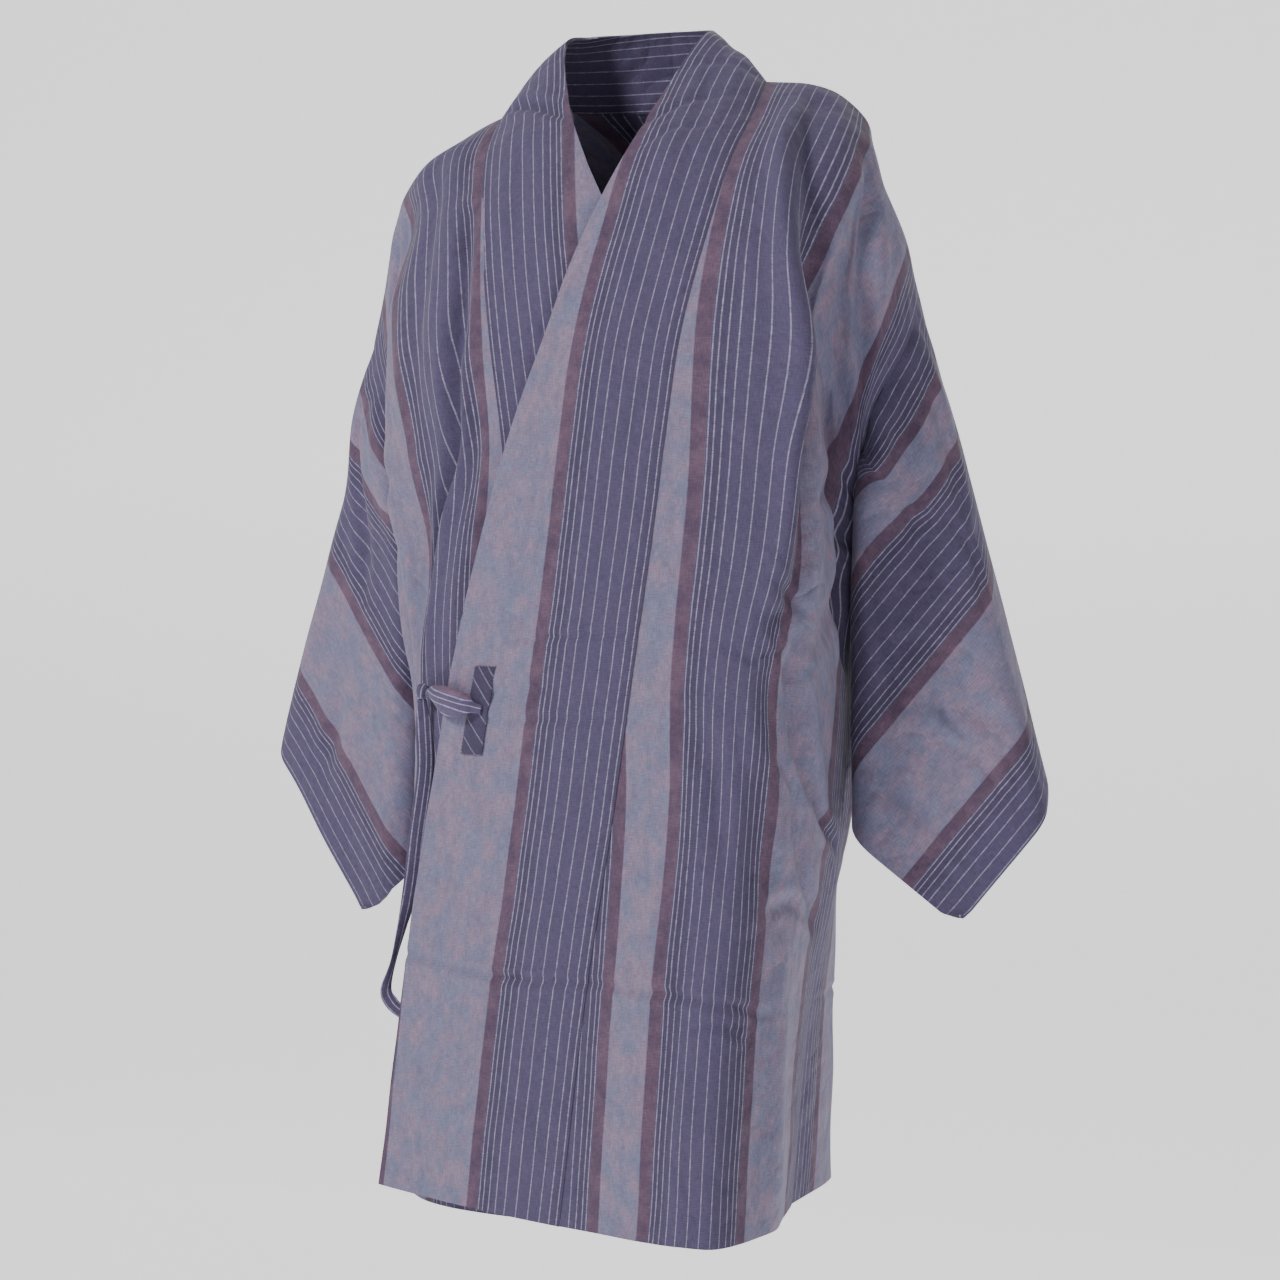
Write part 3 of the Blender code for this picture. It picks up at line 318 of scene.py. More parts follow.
# Sections of one back, from the armhole or side edge to the centre seam.
BACK_THREAD_U = {"u0": 0.0, "u7": 7.0, "u15": 15.0, "u23": 23.0, "centre": BACK_WIDTH}
BACK_ARMHOLE_ROWS = (5, 11, 18)
BACK_EASE = 5.0
BACK = {
    0: dict(u0=(19.9, 7.8, -14.0), u7=(18.6, 4.0, -8.0), u15=(16.6, 1.4, -1.6),
            u23=(10.3, 1.2, -0.1), centre=(0.0, 8.6, -0.9)),
    5: dict(u0=(18.7, 10.7, -17.3), u7=(16.4, 9.6, -12.2), u15=(12.6, 8.4, -7.4),
            u23=(7.2, 9.0, -4.9), centre=(0.0, 10.4, -4.6)),
    11: dict(u0=(18.4, 11.4, -22.9), u7=(15.5, 12.0, -18.4), u15=(11.5, 12.4, -14.2),
             u23=(6.5, 12.2, -11.5), centre=(0.0, 11.9, -10.4)),
    18: dict(u0=(18.5, 8.6, -28.9), u7=(15.6, 11.9, -25.2), u15=(11.4, 13.1, -21.0),
             u23=(6.4, 13.3, -18.2), centre=(0.0, 12.8, -17.4)),
    27: dict(u0=(17.6, 2.6, -36.0), u7=(16.2, 9.6, -34.2), u15=(12.3, 12.8, -29.8),
             u23=(6.8, 13.8, -27.0), centre=(0.0, 13.2, -26.2)),
    43: dict(u0=(17.1, 1.9, -47.4), u7=(15.7, 8.6, -46.4), u15=(12.0, 12.8, -43.4),
             u23=(6.9, 14.4, -42.4), centre=(0.0, 13.4, -42.2)),
    64: dict(u0=(16.6, 0.3, -62.2), u7=(14.9, 6.9, -61.8), u15=(12.3, 11.8, -61.6),
             u23=(7.0, 15.1, -62.2), centre=(0.0, 13.8, -62.4)),
    95: dict(u0=(13.8, -2.4, -88.0), u7=(14.6, 4.2, -87.6), u15=(12.6, 10.6, -87.8),
             u23=(7.2, 16.0, -88.3), centre=(0.0, 14.2, -88.4)),
}

# The sleeves hang as flat bags on the bias. hang is the point on the armhole edge where
# the sleeve's outline starts, hang_s its distance below the shoulder line, turn the angle
# of the cloth's crosswise thread below level, and face the way that the front looks,
# turned from the coat's front towards its side.
LEFT_SLEEVE = dict(side=1, hang=(23.6, 0.2, -19.2), hang_s=9.2, turn=39.5, face=20.0,
                   outer_fold=(32.0, 32.2), inner_fold=((0.0, 18.0), (21.4, SLEEVE_DROP)))
RIGHT_SLEEVE = dict(side=-1, hang=(-23.3, 0.2, -19.4), hang_s=7.8, turn=40.5, face=24.5,
                    outer_fold=(32.0, 25.4), inner_fold=((0.0, 16.5), (27.0, SLEEVE_DROP)))
OUTER_TURNS = ((2.0, 65.0), (11.0, 38.0))
INNER_TURNS = ((1.9, 122.0),)
LAYER_GAP = 1.3
CUFF_GAPE = 1.6
GAPE_STARTS = 24.0
SEWN_CUFF_STARTS = 28.0
SEWN_GAP = 0.42
SEWN_LEAD = 1.0
SEWN_RUN = 3.0
ARMHOLE_REACH = 13.0
ARMHOLE_GAP = 0.0
HOLD_LENGTH = 4.0
UNDERARM_GAP = 0.7
STRIP_TRIM = -0.2
CLEARANCE = 0.45
SMOOTHINGS = 80
STRIP_BULGE = 0.5
FLANK_FAR = 60.0
FREE_ACROSS = 5.0
FREE_BELOW = 4.0
MOSTLY_FREE = 0.5

# The tab's place on the overlap strip, as shares from seam to free edge and centimetres down,
# its cut on the bias, and its rows and columns, each divided finer for the mesh.
TAB_ACROSS = (0.735, 0.853)
TAB_DOWN = (52.9, 59.5)
TAB_LENGTH = TAB_DOWN[1] - TAB_DOWN[0]
TAB_WIDTH = 2.0
BIAS = np.sqrt(0.5)
TAB_FINER = 6
TAB_EDGE = 0.25
SLIT_HALF = (0.35, 0.7)
TAB_ROWS = 6
TAB_COLUMNS = 3
SLIT_ROW = 3
SLIT_COLUMN = 1

# The tie, in centimetres. The loop's rows are its share of the way from slit to knot, how
# far it stands out, half its height and half its thickness. The knot's are the way down
# and its two half sizes. The hanging end's are its place, half its width and its turn.
KNOT = (-13.6, -11.6, -47.9)
KNOT_WAY = (-0.2, 0.0, -0.95)
KNOT_RUN = ((-0.62, 0.12, 0.12), (-0.45, 0.42, 0.40), (0.0, 0.56, 0.52), (0.45, 0.42, 0.42),
            (0.62, 0.12, 0.12))
SLIT_OFFSET = (0.0, -0.60, 0.05)
LOOP_OUT = (-0.35, -0.94, 0.0)
LOOP_END = (0.62, -0.1, 0.1)
LOOP = ((0.0, -0.18, 0.34, 0.12), (0.12, 0.1, 0.44, 0.3), (0.24, 0.42, 0.9, 0.46),
        (0.45, 0.62, 1.1, 0.55), (0.65, 0.62, 0.98, 0.52), (0.88, 0.28, 0.55, 0.36),
        (1.0, 0.0, 0.20, 0.16))
STRAP = ((-13.7, -11.5, -48.53, 0.35, 20), (-13.8, -10.9, -51.0, 0.62, 22),
         (-13.9, -10.5, -54.3, 0.64, 18), (-14.7, -10.1, -58.8, 0.64, 12),
         (-15.4, -9.9, -63.5, 0.62, 20), (-16.2, -9.8, -66.6, 0.42, 45),
         (-17.0, -9.7, -69.4, 0.36, 75), (-17.7, -9.6, -71.7, 0.46, 40),
         (-17.2, -9.6, -72.8, 0.55, 10), (-16.2, -9.6, -73.6, 0.5, 0))
STRAP_THICK = 0.11
TIE_SIDES = 36
TIE_STEPS = 10
TIE_THINNEST = 0.02
TIE_FOLDS = 3
FOLD_TWIST = 1.3
STITCH_SIDES = 6
STITCH_SHARE = 0.55

# Creases by piece: name, depth in millimetres (below nought for a ridge), half width in
# centimetres, and the line as distances across and along the cloth in centimetres.
CREASES = {
    "left_overlap_strip": (
        ("upper storage fold", 2.2, 0.3, ((12.4, 51.0), (6.1, 50.5), (0.0, 50.0))),
        ("middle storage fold", 1.9, 0.3, ((12.0, 57.0), (5.0, 56.6), (0.0, 56.6))),
        ("lower storage fold", 3.2, 0.34, ((17.5, 76.0), (7.5, 77.0), (-1.0, 76.6))),
        ("first collar wrinkle", 2.2, 0.35, ((1.4, 4.4), (4.6, 5.8), (8.6, 9.6))),
        ("second collar wrinkle", 1.9, 0.35, ((2.0, 8.4), (5.0, 9.4), (7.4, 11.8))),
        ("third collar wrinkle", 1.7, 0.3, ((0.6, 1.0), (3.6, 1.6), (6.8, 3.4))),
        ("wrinkle above the tab", 1.8, 0.3, ((16.2, 48.4), (13.0, 49.4), (9.6, 49.0))),
        ("collar roll", 2.0, 0.9, ((5.0, -7.0), (4.4, 2.0), (3.6, 9.6), (2.6, 15.0))),
        ("slit pull", 2.2, 0.6, ((13.6, 56.0), (10.4, 54.6), (7.0, 54.2))),
        ("edge wave", 2.2, 1.3, ((15.0, 62.0), (13.0, 68.0), (14.2, 75.0)))),
    "right_underlap_strip": (
        ("collar bend", 6.0, 0.42, ((1.6, 3.0), (5.2, 5.5), (8.0, 7.6))),
        ("collar roll", 1.2, 0.8, ((3.4, 8.0), (3.8, 13.0), (3.2, 19.0)))),
    "left_front": (
        ("hollow before the armhole", 10.0, 2.6,
         ((12.0, 8.0), (9.0, 15.0), (7.0, 22.0), (6.0, 30.0))),
        ("fold below the shoulder", 14.0, 1.4,
         ((17.2, 3.6), (16.4, 7.0), (14.6, 14.0), (13.8, 21.6), (12.9, 31.0), (12.6, 39.0),
          (13.2, 48.0))),
        ("edge of that fold", -5.0, 0.9,
         ((18.8, 6.0), (18.2, 10.0), (16.6, 21.6), (15.2, 31.0), (14.9, 39.0), (15.0, 47.0))),
        ("fold along the sleeve", 6.5, 0.9, ((12.6, 5.5), (8.6, 10.6), (6.1, 15.6), (3.1, 20.1))),
        ("first pull from the underarm", 5.0, 0.8, ((1.4, 29.0), (5.2, 32.6), (10.0, 38.0))),
        ("second pull from the underarm", 4.4, 0.8, ((1.4, 32.6), (4.6, 40.0), (8.4, 50.0))),
        ("third pull from the underarm", 3.6, 0.7, ((1.4, 25.6), (5.6, 25.2), (10.6, 27.0))),
        ("hollow under the arm", 17.0, 1.6, ((4.6, 23.0), (4.4, 28.0), (3.8, 34.0), (3.0, 42.0))),
        ("hollow at the waist", 4.5, 1.1, ((20.8, 56.0), (18.6, 60.0), (17.4, 66.5))),
        ("bulge at the waist", -5.0, 1.5, ((16.6, 53.0), (12.6, 60.5), (10.4, 68.0))),
        ("fold across the flank", 8.5, 0.8,
         ((11.4, 50.0), (10.9, 54.0), (9.7, 57.5), (7.8, 60.0), (5.0, 61.4), (1.2, 61.8))),
        ("crest above that fold", -4.5, 0.9, ((8.8, 52.0), (7.4, 56.0), (5.2, 58.8))),
        ("pull across the waist", 3.8, 0.55, ((15.4, 45.2), (13.2, 46.5), (10.6, 47.8))),
        ("hang fold in the flank", 5.5, 0.9, ((9.6, 62.8), (8.3, 65.0), (6.8, 67.5), (3.6, 70.4))),
        ("second bend at the hip", 3.4, 0.6, ((12.6, 70.4), (8.4, 69.6), (4.2, 70.8))),
        ("middle storage fold", 1.7, 0.3, ((26.4, 56.6), (22.4, 56.8))),
        ("lower storage fold", 3.2, 0.34, ((29.4, 76.6), (21.5, 77.0), (14.8, 77.6), (11.0, 78.6))),
        ("short wrinkle", 2.6, 0.3, ((18.6, 79.4), (15.8, 79.0), (13.4, 80.4))),
        ("long hang fold", 3.4, 1.3, ((19.4, 70.0), (20.4, 80.0), (21.0, 94.0))),
        ("hem fold", -4.5, 1.6, ((9.6, 74.0), (8.4, 84.0), (8.0, 95.0))),
        ("sharp crease at the chest", 2.6, 0.35, ((15.4, 30.0), (11.8, 33.0), (8.2, 37.4))),
        ("sharp crease at the waist", 3.0, 0.4, ((14.6, 49.0), (10.4, 53.6), (6.8, 60.4))),
        ("sharp crease at the hip", 2.8, 0.4, ((13.4, 58.0), (9.8, 61.4), (8.2, 68.2))),
        ("small crease at the waist", 2.2, 0.35, ((19.0, 50.6), (15.6, 52.0), (12.4, 51.2)))),
    "right_front": (
        ("fold beside the overlap", 11.0, 0.85,
         ((21.0, 14.0), (19.8, 25.0), (18.1, 33.0), (16.3, 38.5), (15.3, 46.0), (14.8, 56.0))),
        ("edge beside the overlap", -3.0, 0.8,
         ((20.6, 26.0), (19.8, 33.0), (18.1, 40.0), (17.3, 46.0), (16.8, 54.0))),
        ("recess behind the crest", 9.0, 1.0, ((6.6, 35.0), (7.0, 43.0), (7.6, 50.0), (8.4, 57.0))),
        ("valley down the chest", 5.0, 1.0,
         ((17.4, 7.0), (16.2, 16.0), (15.0, 25.0), (13.4, 32.0))),
        ("crest by the sleeve", -4.5, 1.5, ((13.0, 12.0), (10.8, 19.0), (9.0, 28.0), (8.4, 40.0))),
        ("pull from the underarm", 4.5, 0.8, ((1.6, 28.0), (5.4, 31.0), (9.4, 37.0))),
        ("fold along the sleeve", 4.5, 0.8, ((10.4, 7.0), (6.8, 12.0), (3.6, 18.6))),
        ("lower storage fold", 1.8, 0.35, ((26.0, 76.6), (14.0, 77.2), (2.0, 76.4)))),
    "left_back": (
        ("bulge at the hip", -7.5, 2.4, ((6.0, 45.0), (5.2, 52.0), (4.8, 57.0), (5.0, 63.0))),
        ("pull from the armhole", 4.5, 1.0, ((2.2, 19.0), (7.0, 25.0), (11.6, 34.0))),
        ("second pull", 3.6, 0.9, ((2.0, 27.0), (6.4, 35.0), (8.6, 46.0))),
        ("shoulder blade fold", 3.2, 1.3, ((20.0, 6.0), (18.4, 16.0), (19.6, 30.0))),
        ("upper storage fold", 1.0, 0.35, ((3.0, 50.6), (16.0, 51.0), (30.0, 50.4))),
        ("lower storage fold", 1.8, 0.35, ((0.5, 77.4), (14.0, 76.8), (30.0, 77.2))),
        ("hang fold", 4.2, 1.5, ((12.6, 58.0), (11.4, 74.0), (12.2, 94.0)))),
    "right_back": (
        ("pull from the armhole", 4.2, 1.0, ((2.2, 17.0), (8.0, 24.0), (13.0, 31.0))),
        ("second pull", 3.4, 0.9, ((2.0, 29.0), (5.6, 38.0), (7.4, 50.0))),
        ("shoulder blade fold", 3.4, 1.2, ((22.0, 8.0), (20.8, 19.0), (21.6, 28.0))),
        ("upper storage fold", 0.9, 0.35, ((5.0, 50.2), (17.0, 50.8), (30.0, 50.4))),
        ("lower storage fold", 1.7, 0.35, ((0.5, 76.8), (15.0, 77.4), (30.0, 77.2))),
        ("hang fold", 4.0, 1.4, ((15.6, 60.0), (16.4, 76.0), (14.8, 94.0)))),
    "left_sleeve": (
        ("press line", 2.6, 0.45, ((8.4, 26.4), (12.6, 30.1), (16.8, 33.6))),
        ("dent by the cuff", 4.0, 0.9, ((19.4, 31.6), (22.0, 30.2), (25.0, 29.0))),
        ("lower dent", 3.6, 0.9, ((18.6, 37.0), (21.6, 38.6), (25.6, 39.0))),
        ("upper pull", 4.2, 0.8, ((1.6, 12.4), (6.0, 15.0), (11.4, 18.4))),
        ("middle pull", 3.8, 0.8, ((2.4, 17.6), (7.6, 21.0), (13.4, 24.0))),
        ("first cuff crease", 2.6, 0.4, ((17.4, 29.4), (19.8, 31.4), (23.4, 32.0))),
        ("second cuff crease", 2.4, 0.4, ((22.0, 33.4), (25.2, 32.6), (28.4, 33.6))),
        ("elbow crease", 2.6, 0.4, ((10.6, 19.4), (14.6, 20.6), (18.2, 23.6))),
        ("fold line across", 2.0, 0.45, ((13.0, 11.4), (20.0, 18.2), (27.0, 24.8)))),
    "right_sleeve": (
        ("round of the outer fold", -6.5, 3.2, ((1.0, 0.8), (10.0, 7.9), (20.0, 15.9), (31.0, 24.6))),
        ("upright fold", 5.0, 0.8, ((6.5, 15.6), (10.8, 18.8), (14.6, 23.0))),
        ("short crease", 3.4, 0.6, ((3.4, 12.8), (6.2, 14.8), (9.2, 16.6))),
        ("slanting crease", 4.0, 0.8, ((20.4, 12.6), (23.4, 16.6), (28.0, 21.0))),
        ("dent by the cuff", 3.2, 0.9, ((22.0, 27.0), (25.0, 29.6), (28.6, 30.6)))),
    "left_sleeve_rear": (
        ("rear pull", 4.0, 0.9, ((2.0, 10.0), (8.0, 15.0), (13.0, 21.0))),
        ("rear press line", 1.6, 0.5, ((14.0, 12.0), (17.0, 24.0), (18.6, 36.0))),
        ("rear dent", 3.4, 0.9, ((20.0, 30.0), (24.6, 28.0), (28.0, 28.6)))),
    "right_sleeve_rear": (
        ("rear pull", 3.8, 0.9, ((2.0, 12.0), (7.0, 18.0), (11.0, 26.0))),
        ("rear press line", 1.6, 0.5, ((15.0, 10.0), (17.4, 22.0), (19.6, 37.0))),
        ("rear dent", 3.2, 0.9, ((21.0, 34.0), (25.0, 31.6), (29.0, 31.0)))),
}


def spline(knots, points, where):
    """Smooth curve through points at uneven knots, read at the places in where."""
    knots = np.asarray(knots, float)
    points = np.asarray(points, float)
    where = np.asarray(where, float)
    step = np.diff(knots)
    slope = np.diff(points, axis=0) / step[:, None]
    tangent = np.empty_like(points)
    tangent[0], tangent[-1] = slope[0], slope[-1]
    weight = (step[1:] / (step[1:] + step[:-1]))[:, None]
    tangent[1:-1] = slope[:-1] * weight + slope[1:] * (1 - weight)
    i = np.clip(np.searchsorted(knots, where, side="right") - 1, 0, len(knots) - 2)
    h = step[i][:, None]
    x = (where - knots[i])[:, None] / h
    start = points[i] * (1 + 2 * x) * (1 - x) ** 2 + tangent[i] * h * x * (1 - x) ** 2
    end = points[i + 1] * x ** 2 * (3 - 2 * x) + tangent[i + 1] * h * x ** 2 * (x - 1)
    return start + end


def column(table, name, where):
    """One named thread line of a section table, read at distances along the cloth."""
    rows = sorted(table)
    return spline(rows, [table[row][name] for row in rows], where)


def seam_reach(v):
    """Distance from the armhole edge to the strip's seam, which slants across the front."""
    return spline(SEAM_AT, np.array(SEAM_DISTANCE)[:, None], v)[:, 0]


def front_grid(front, strip, across, along):
    """Outer points of a front: across runs from side to seam as a share, along is v."""
    lines = [column(front, name, along) for name in THREAD_U] + [column(strip, "seam", along)]
    reach = seam_reach(along)
    grid = np.empty((len(along), len(across), 3))
    for k in range(len(along)):
        knots = [*THREAD_U.values(), reach[k]]
        grid[k] = spline(knots, [line[k] for line in lines], across * reach[k])
    return grid


def strip_grid(strip, across, along):
    """Outer points of an overlap strip, slightly rounded between its seam and free edge."""
    seam = column(strip, "seam", along)
    edge = column(strip, "edge", along)
    seam += unit(edge - seam) * STRIP_TRIM
    run = np.gradient((seam + edge) / 2, axis=0)
    out = np.cross(edge - seam, run)
    out /= np.linalg.norm(out, axis=1)[:, None]
    if out[len(out) // 2, 1] > 0:
        out = -out
    across = across[None, :, None]
    return (seam[:, None] * (1 - across) + edge[:, None] * across
            + out[:, None] * STRIP_BULGE * 4 * across * (1 - across))


def back_grid(front, strip, side, across, along):
    """Outer points of a back, whose top edge is the shoulder and the back neck."""
    rows = sorted(BACK)
    knots = list(BACK_THREAD_U.values())
    flip = np.array([side, 1.0, 1.0])
    u = across * BACK_WIDTH
    levels = np.array([spline(knots, [BACK[row][name] for name in BACK_THREAD_U], u) * flip
                       for row in rows])
    levels[0] = shoulder_and_neck(front, strip, u)
    grid = np.stack([spline(rows, levels[:, j], along) for j in range(len(u))], axis=1)
    edge = back_edge(front, side, along)
    ease = np.exp(-u / BACK_EASE)[None, :, None]
    return grid + (edge - grid[:, 0])[:, None] * ease


def shoulder_and_neck(front, strip, u):
    """The back's top edge: along the shoulder, then round the neck to the centre."""
    neck = seam_reach(np.array([0.0]))[0]
    line = front_grid(front, strip, np.clip(u / neck, 0, 1), np.array([0.0]))[0]
    round_neck = np.clip((u - neck) / (BACK_WIDTH - neck), 0, 1) * NECK_BACK
    return np.where((u <= neck)[:, None], line, column(strip, "seam", round_neck))


def back_edge(front, side, along):
    """The back's outer edge: its armhole, then the side seam that it shares with the front."""
    top = np.array(front[0]["u0"])
    armpit = column(front, "u0", np.array([ARMHOLE_DEPTH]))[0]
    flip = np.array([side, 1.0, 1.0])
    middle = [np.array(BACK[row]["u0"]) * flip + (top - np.array(BACK[0]["u0"]) * flip)
              * (1 - row / ARMHOLE_DEPTH) for row in BACK_ARMHOLE_ROWS]
    armhole = spline((0, *BACK_ARMHOLE_ROWS, ARMHOLE_DEPTH), [top, *middle, armpit],
                     np.clip(along, 0, ARMHOLE_DEPTH))
    return np.where((along < ARMHOLE_DEPTH)[:, None], armhole, column(front, "u0", along))


def curl(arc, turns):
    """How far cloth goes out and back once it has rolled over a crease for a length arc."""
    out = np.zeros_like(arc)
    back = np.zeros_like(arc)
    heading = 0.0
    left = np.maximum(arc, 0.0)
    for radius, degrees in turns:
        turned = np.minimum(left / radius, np.radians(degrees))
        out += radius * (np.sin(heading + turned) - np.sin(heading))
        back += radius * (np.cos(heading) - np.cos(heading + turned))
        left = left - turned * radius
        heading += np.radians(degrees)
    return out + left * np.cos(heading), back + left * np.sin(heading)


def sleeve_sheet(shape, t, s):
    """Front layer of a sleeve: a flat rectangle hung on the bias and rolled at two creases."""
    turn = np.radians(shape["turn"])

    def hung(t_at, s_at):
        drop = s_at - shape["hang_s"]
        return np.stack([t_at * np.cos(turn) - drop * np.sin(turn),
                         t_at * np.sin(turn) + drop * np.cos(turn)], axis=-1)

    flat = hung(t, s)
    back = np.zeros_like(t)
    moved = flat.copy()
    (t_top, s_top), (t_low, s_low) = shape["inner_fold"]
    folds = ((np.zeros(2), hung(*map(np.array, shape["outer_fold"])), 1, OUTER_TURNS),
             (hung(np.array(t_top), np.array(s_top)), hung(np.array(t_low), np.array(s_low)),
              -1, INNER_TURNS))
    for start, end, way, turns in folds:
        run = (end - start) / np.linalg.norm(end - start)
        normal = np.array([run[1], -run[0]]) * way
        beyond = (flat - start) @ normal + turns[0][0]
        out, behind = curl(beyond, turns)
        moved += (np.where(beyond > 0, out - beyond, 0.0))[..., None] * normal
        back += behind
    face = np.radians(shape["face"])
    side = shape["side"]
    away = np.array([side * np.cos(face), np.sin(face), 0.0])
    rearward = np.array([-side * np.sin(face), np.cos(face), 0.0])
    return (np.array(shape["hang"]) + moved[..., :1] * away + back[..., None] * rearward
            - moved[..., 1:] * np.array([0.0, 0.0, 1.0]))


def grid_normals(grid):
    """Unit normals of a grid of points, by the cloth's two directions."""
    normal = np.cross(np.gradient(grid, axis=1), np.gradient(grid, axis=0))
    return normal / np.linalg.norm(normal, axis=2)[..., None]


def layer_gap(t, s):
    """Space between the sleeve's two layers, closed at its folds and where it is sewn."""
    edge = np.clip(np.minimum(s, SLEEVE_DROP - s) / (LAYER_GAP / 2), 0, 1)
    rounded = np.sqrt(np.clip(1 - (1 - edge) ** 2, 0, 1))
    near_cuff = smooth_step((t - GAPE_STARTS) / (SLEEVE_WIDTH - GAPE_STARTS))
    sewn = (smooth_step((s - CUFF_OPENING + SEWN_LEAD) / SEWN_RUN)
            * smooth_step((t - SEWN_CUFF_STARTS) / (SLEEVE_WIDTH - SEWN_CUFF_STARTS)))
    gape = CUFF_GAPE * near_cuff * np.sin(np.pi * np.clip(s / CUFF_OPENING, 0, 1)) ** 2
    full = LAYER_GAP + gape
    return (full * (1 - sewn) + SEWN_GAP * sewn) * rounded


def smooth_step(x):
    x = np.clip(x, 0.0, 1.0)
    return x * x * (3 - 2 * x)


def sleeve_layers(shape, front, t_line, s_line):
    """Front and rear layer of a sleeve, pulled in to the armhole that they are sewn to."""
    t, s = np.meshgrid(t_line, s_line, indexing="ij")
    face = sleeve_sheet(shape, t, s)
    normal = grid_normals(face) * shape["side"]
    rear = face - normal * layer_gap(t, s)[..., None]
    reach = smooth_step(1 - t / ARMHOLE_REACH)[..., None]
    rows = armhole_rows()
    sewn = rows[-2]
    at = np.clip(s_line, 0, sewn)
    hold = np.exp(-np.maximum(s_line - sewn, 0) / HOLD_LENGTH)[:, None]
    edges = [np.stack([np.interp(at, rows, edge[:, k]) for k in range(3)], -1)
             for edge in (column(front, "u0", rows), back_edge(front, shape["side"], rows))]
    insides = column(front, "u3", at), column(BACK, "u7", at) * (shape["side"], 1, 1)
    open_part = np.clip((s_line - sewn) / (ARMHOLE_DEPTH - sewn), 0, 1)[:, None]
    for layer, edge, inside in ((face, edges[0], insides[0]), (rear, edges[1], insides[1])):
        run = unit(np.gradient(column(front, "u0", s_line) if layer is face
                               else back_edge(front, shape["side"], s_line), axis=0))
        off = edge - inside
        off = unit(off - (off * run).sum(axis=1)[:, None] * run)
        start = edge + off * ARMHOLE_GAP + open_part * (shape["side"] * UNDERARM_GAP, 0, 0)
        layer += ((start - layer[0]) * hold)[None] * reach
    return face, rear


def armhole_rows():
    return shares(ARMHOLE_ROWS, SEAM_GAP / CM, ARMHOLE_DEPTH)


def clear_of_body(face, rear, side, body, t_line, s_line):
    """Move a sleeve sideways wherever it would lie in the body's flank."""
    free = np.maximum(smooth_step(t_line / FREE_ACROSS)[:, None],
                      smooth_step((s_line - armhole_rows()[-2]) / FREE_BELOW)[None])
    move = np.zeros(face.shape[:2])
    for layer in (face, rear):
        for index in np.ndindex(move.shape):
            x, y, z = layer[index]
            hit = body.ray_cast((side * FLANK_FAR, y, z), (-side, 0.0, 0.0))[0]
            if hit is not None:
                need = side * hit[0] + CLEARANCE - side * x
                move[index] = max(move[index], need * free[index])
    for _ in range(SMOOTHINGS):
        around = np.pad(move, 1, mode="edge")
        mean = (around[:-2, 1:-1] + around[2:, 1:-1] + around[1:-1, :-2] + around[1:-1, 2:]) / 4
        move = np.maximum(move, mean * (free > MOSTLY_FREE))
    shift = move[..., None] * np.array([side, 0.0, 0.0])
    return face + shift, rear + shift


def unit(vectors):
    return vectors / np.linalg.norm(vectors, axis=-1)[..., None]


def shares(count, low=0.0, high=1.0):
    return np.linspace(low, high, count + 1)


def body_shape(grids):
    """One side's front and back as a single shape that can be measured against."""
    points, faces = [], []
    for grid in grids:
        start, (rows, columns) = len(points), grid.shape[:2]
        points += [tuple(point) for point in grid.reshape(-1, 3)]
        faces += [(start + i * columns + j, start + i * columns + j + 1,
                   start + (i + 1) * columns + j + 1, start + (i + 1) * columns + j)
                  for i in range(rows - 1) for j in range(columns - 1)]
    return BVHTree.FromPolygons(points, faces)


def distance_to_line(u, v, points):
    """Distance of cloth places from a broken line, and how far along it the nearest spot is."""
    best = np.full(u.shape, np.inf)
    place = np.zeros(u.shape)
    points = np.asarray(points, float)
    lengths = np.linalg.norm(np.diff(points, axis=0), axis=1)
    done = 0.0
    for (au, av), (bu, bv), length in zip(points[:-1], points[1:], lengths):
        along = np.clip(((u - au) * (bu - au) + (v - av) * (bv - av)) / length ** 2, 0, 1)
        gap = np.hypot(u - au - along * (bu - au), v - av - along * (bv - av))
        closer = gap < best
        best = np.where(closer, gap, best)
        place = np.where(closer, (done + along * length) / lengths.sum(), place)
        done += length
    return best, place


def creased(outer, out, u, v, creases, strength, held=HELD_FADE):
    """A grid in metres moved along its outward directions by a piece's named creases.

    held is the distance from the edge that keeps its place, such as an armhole's.
    """
    move = np.zeros(u.shape)
    for _, depth, width, points in creases:
        gap, place = distance_to_line(u, v, points)
        ends = np.sin(np.pi * (place * (1 - 2 * CREASE_INSET) + CREASE_INSET)) ** END_POWER
        power = SHARP_POWER if width < SHARP_CREASE else SOFT_POWER
        trough = np.exp(-(gap / width) ** power)
        swell = np.exp(-((gap - SWELL_PLACE * width) / width) ** 2) * SWELL_SHARE
        move += (swell - trough) * depth * ends
    move *= smooth_step(held / HELD_FADE)
    return outer + out * (move * strength * MM)[..., None]


def soft_waves(outer, out, u, v, seed, height, sewn):
    """Slow uneven waves, as cloth has that was folded away, none at its sewn edges."""
    wave = np.zeros(u.shape)
    for k in range(WAVES):
        angle = seed * SEED_TURN + k * WAVE_TURN
        length = SHORTEST_WAVE + WAVE_STEP * ((seed * SEED_STEP + k * NEXT_STEP) % WAVE_LENGTHS)
        way = u * np.cos(angle) + v * np.sin(angle)
        wave += np.sin(way * 2 * np.pi / length + k + seed)
    return outer + out * (wave * smooth_step(sewn / WAVE_FADE) * height * MM / WAVES)[..., None]


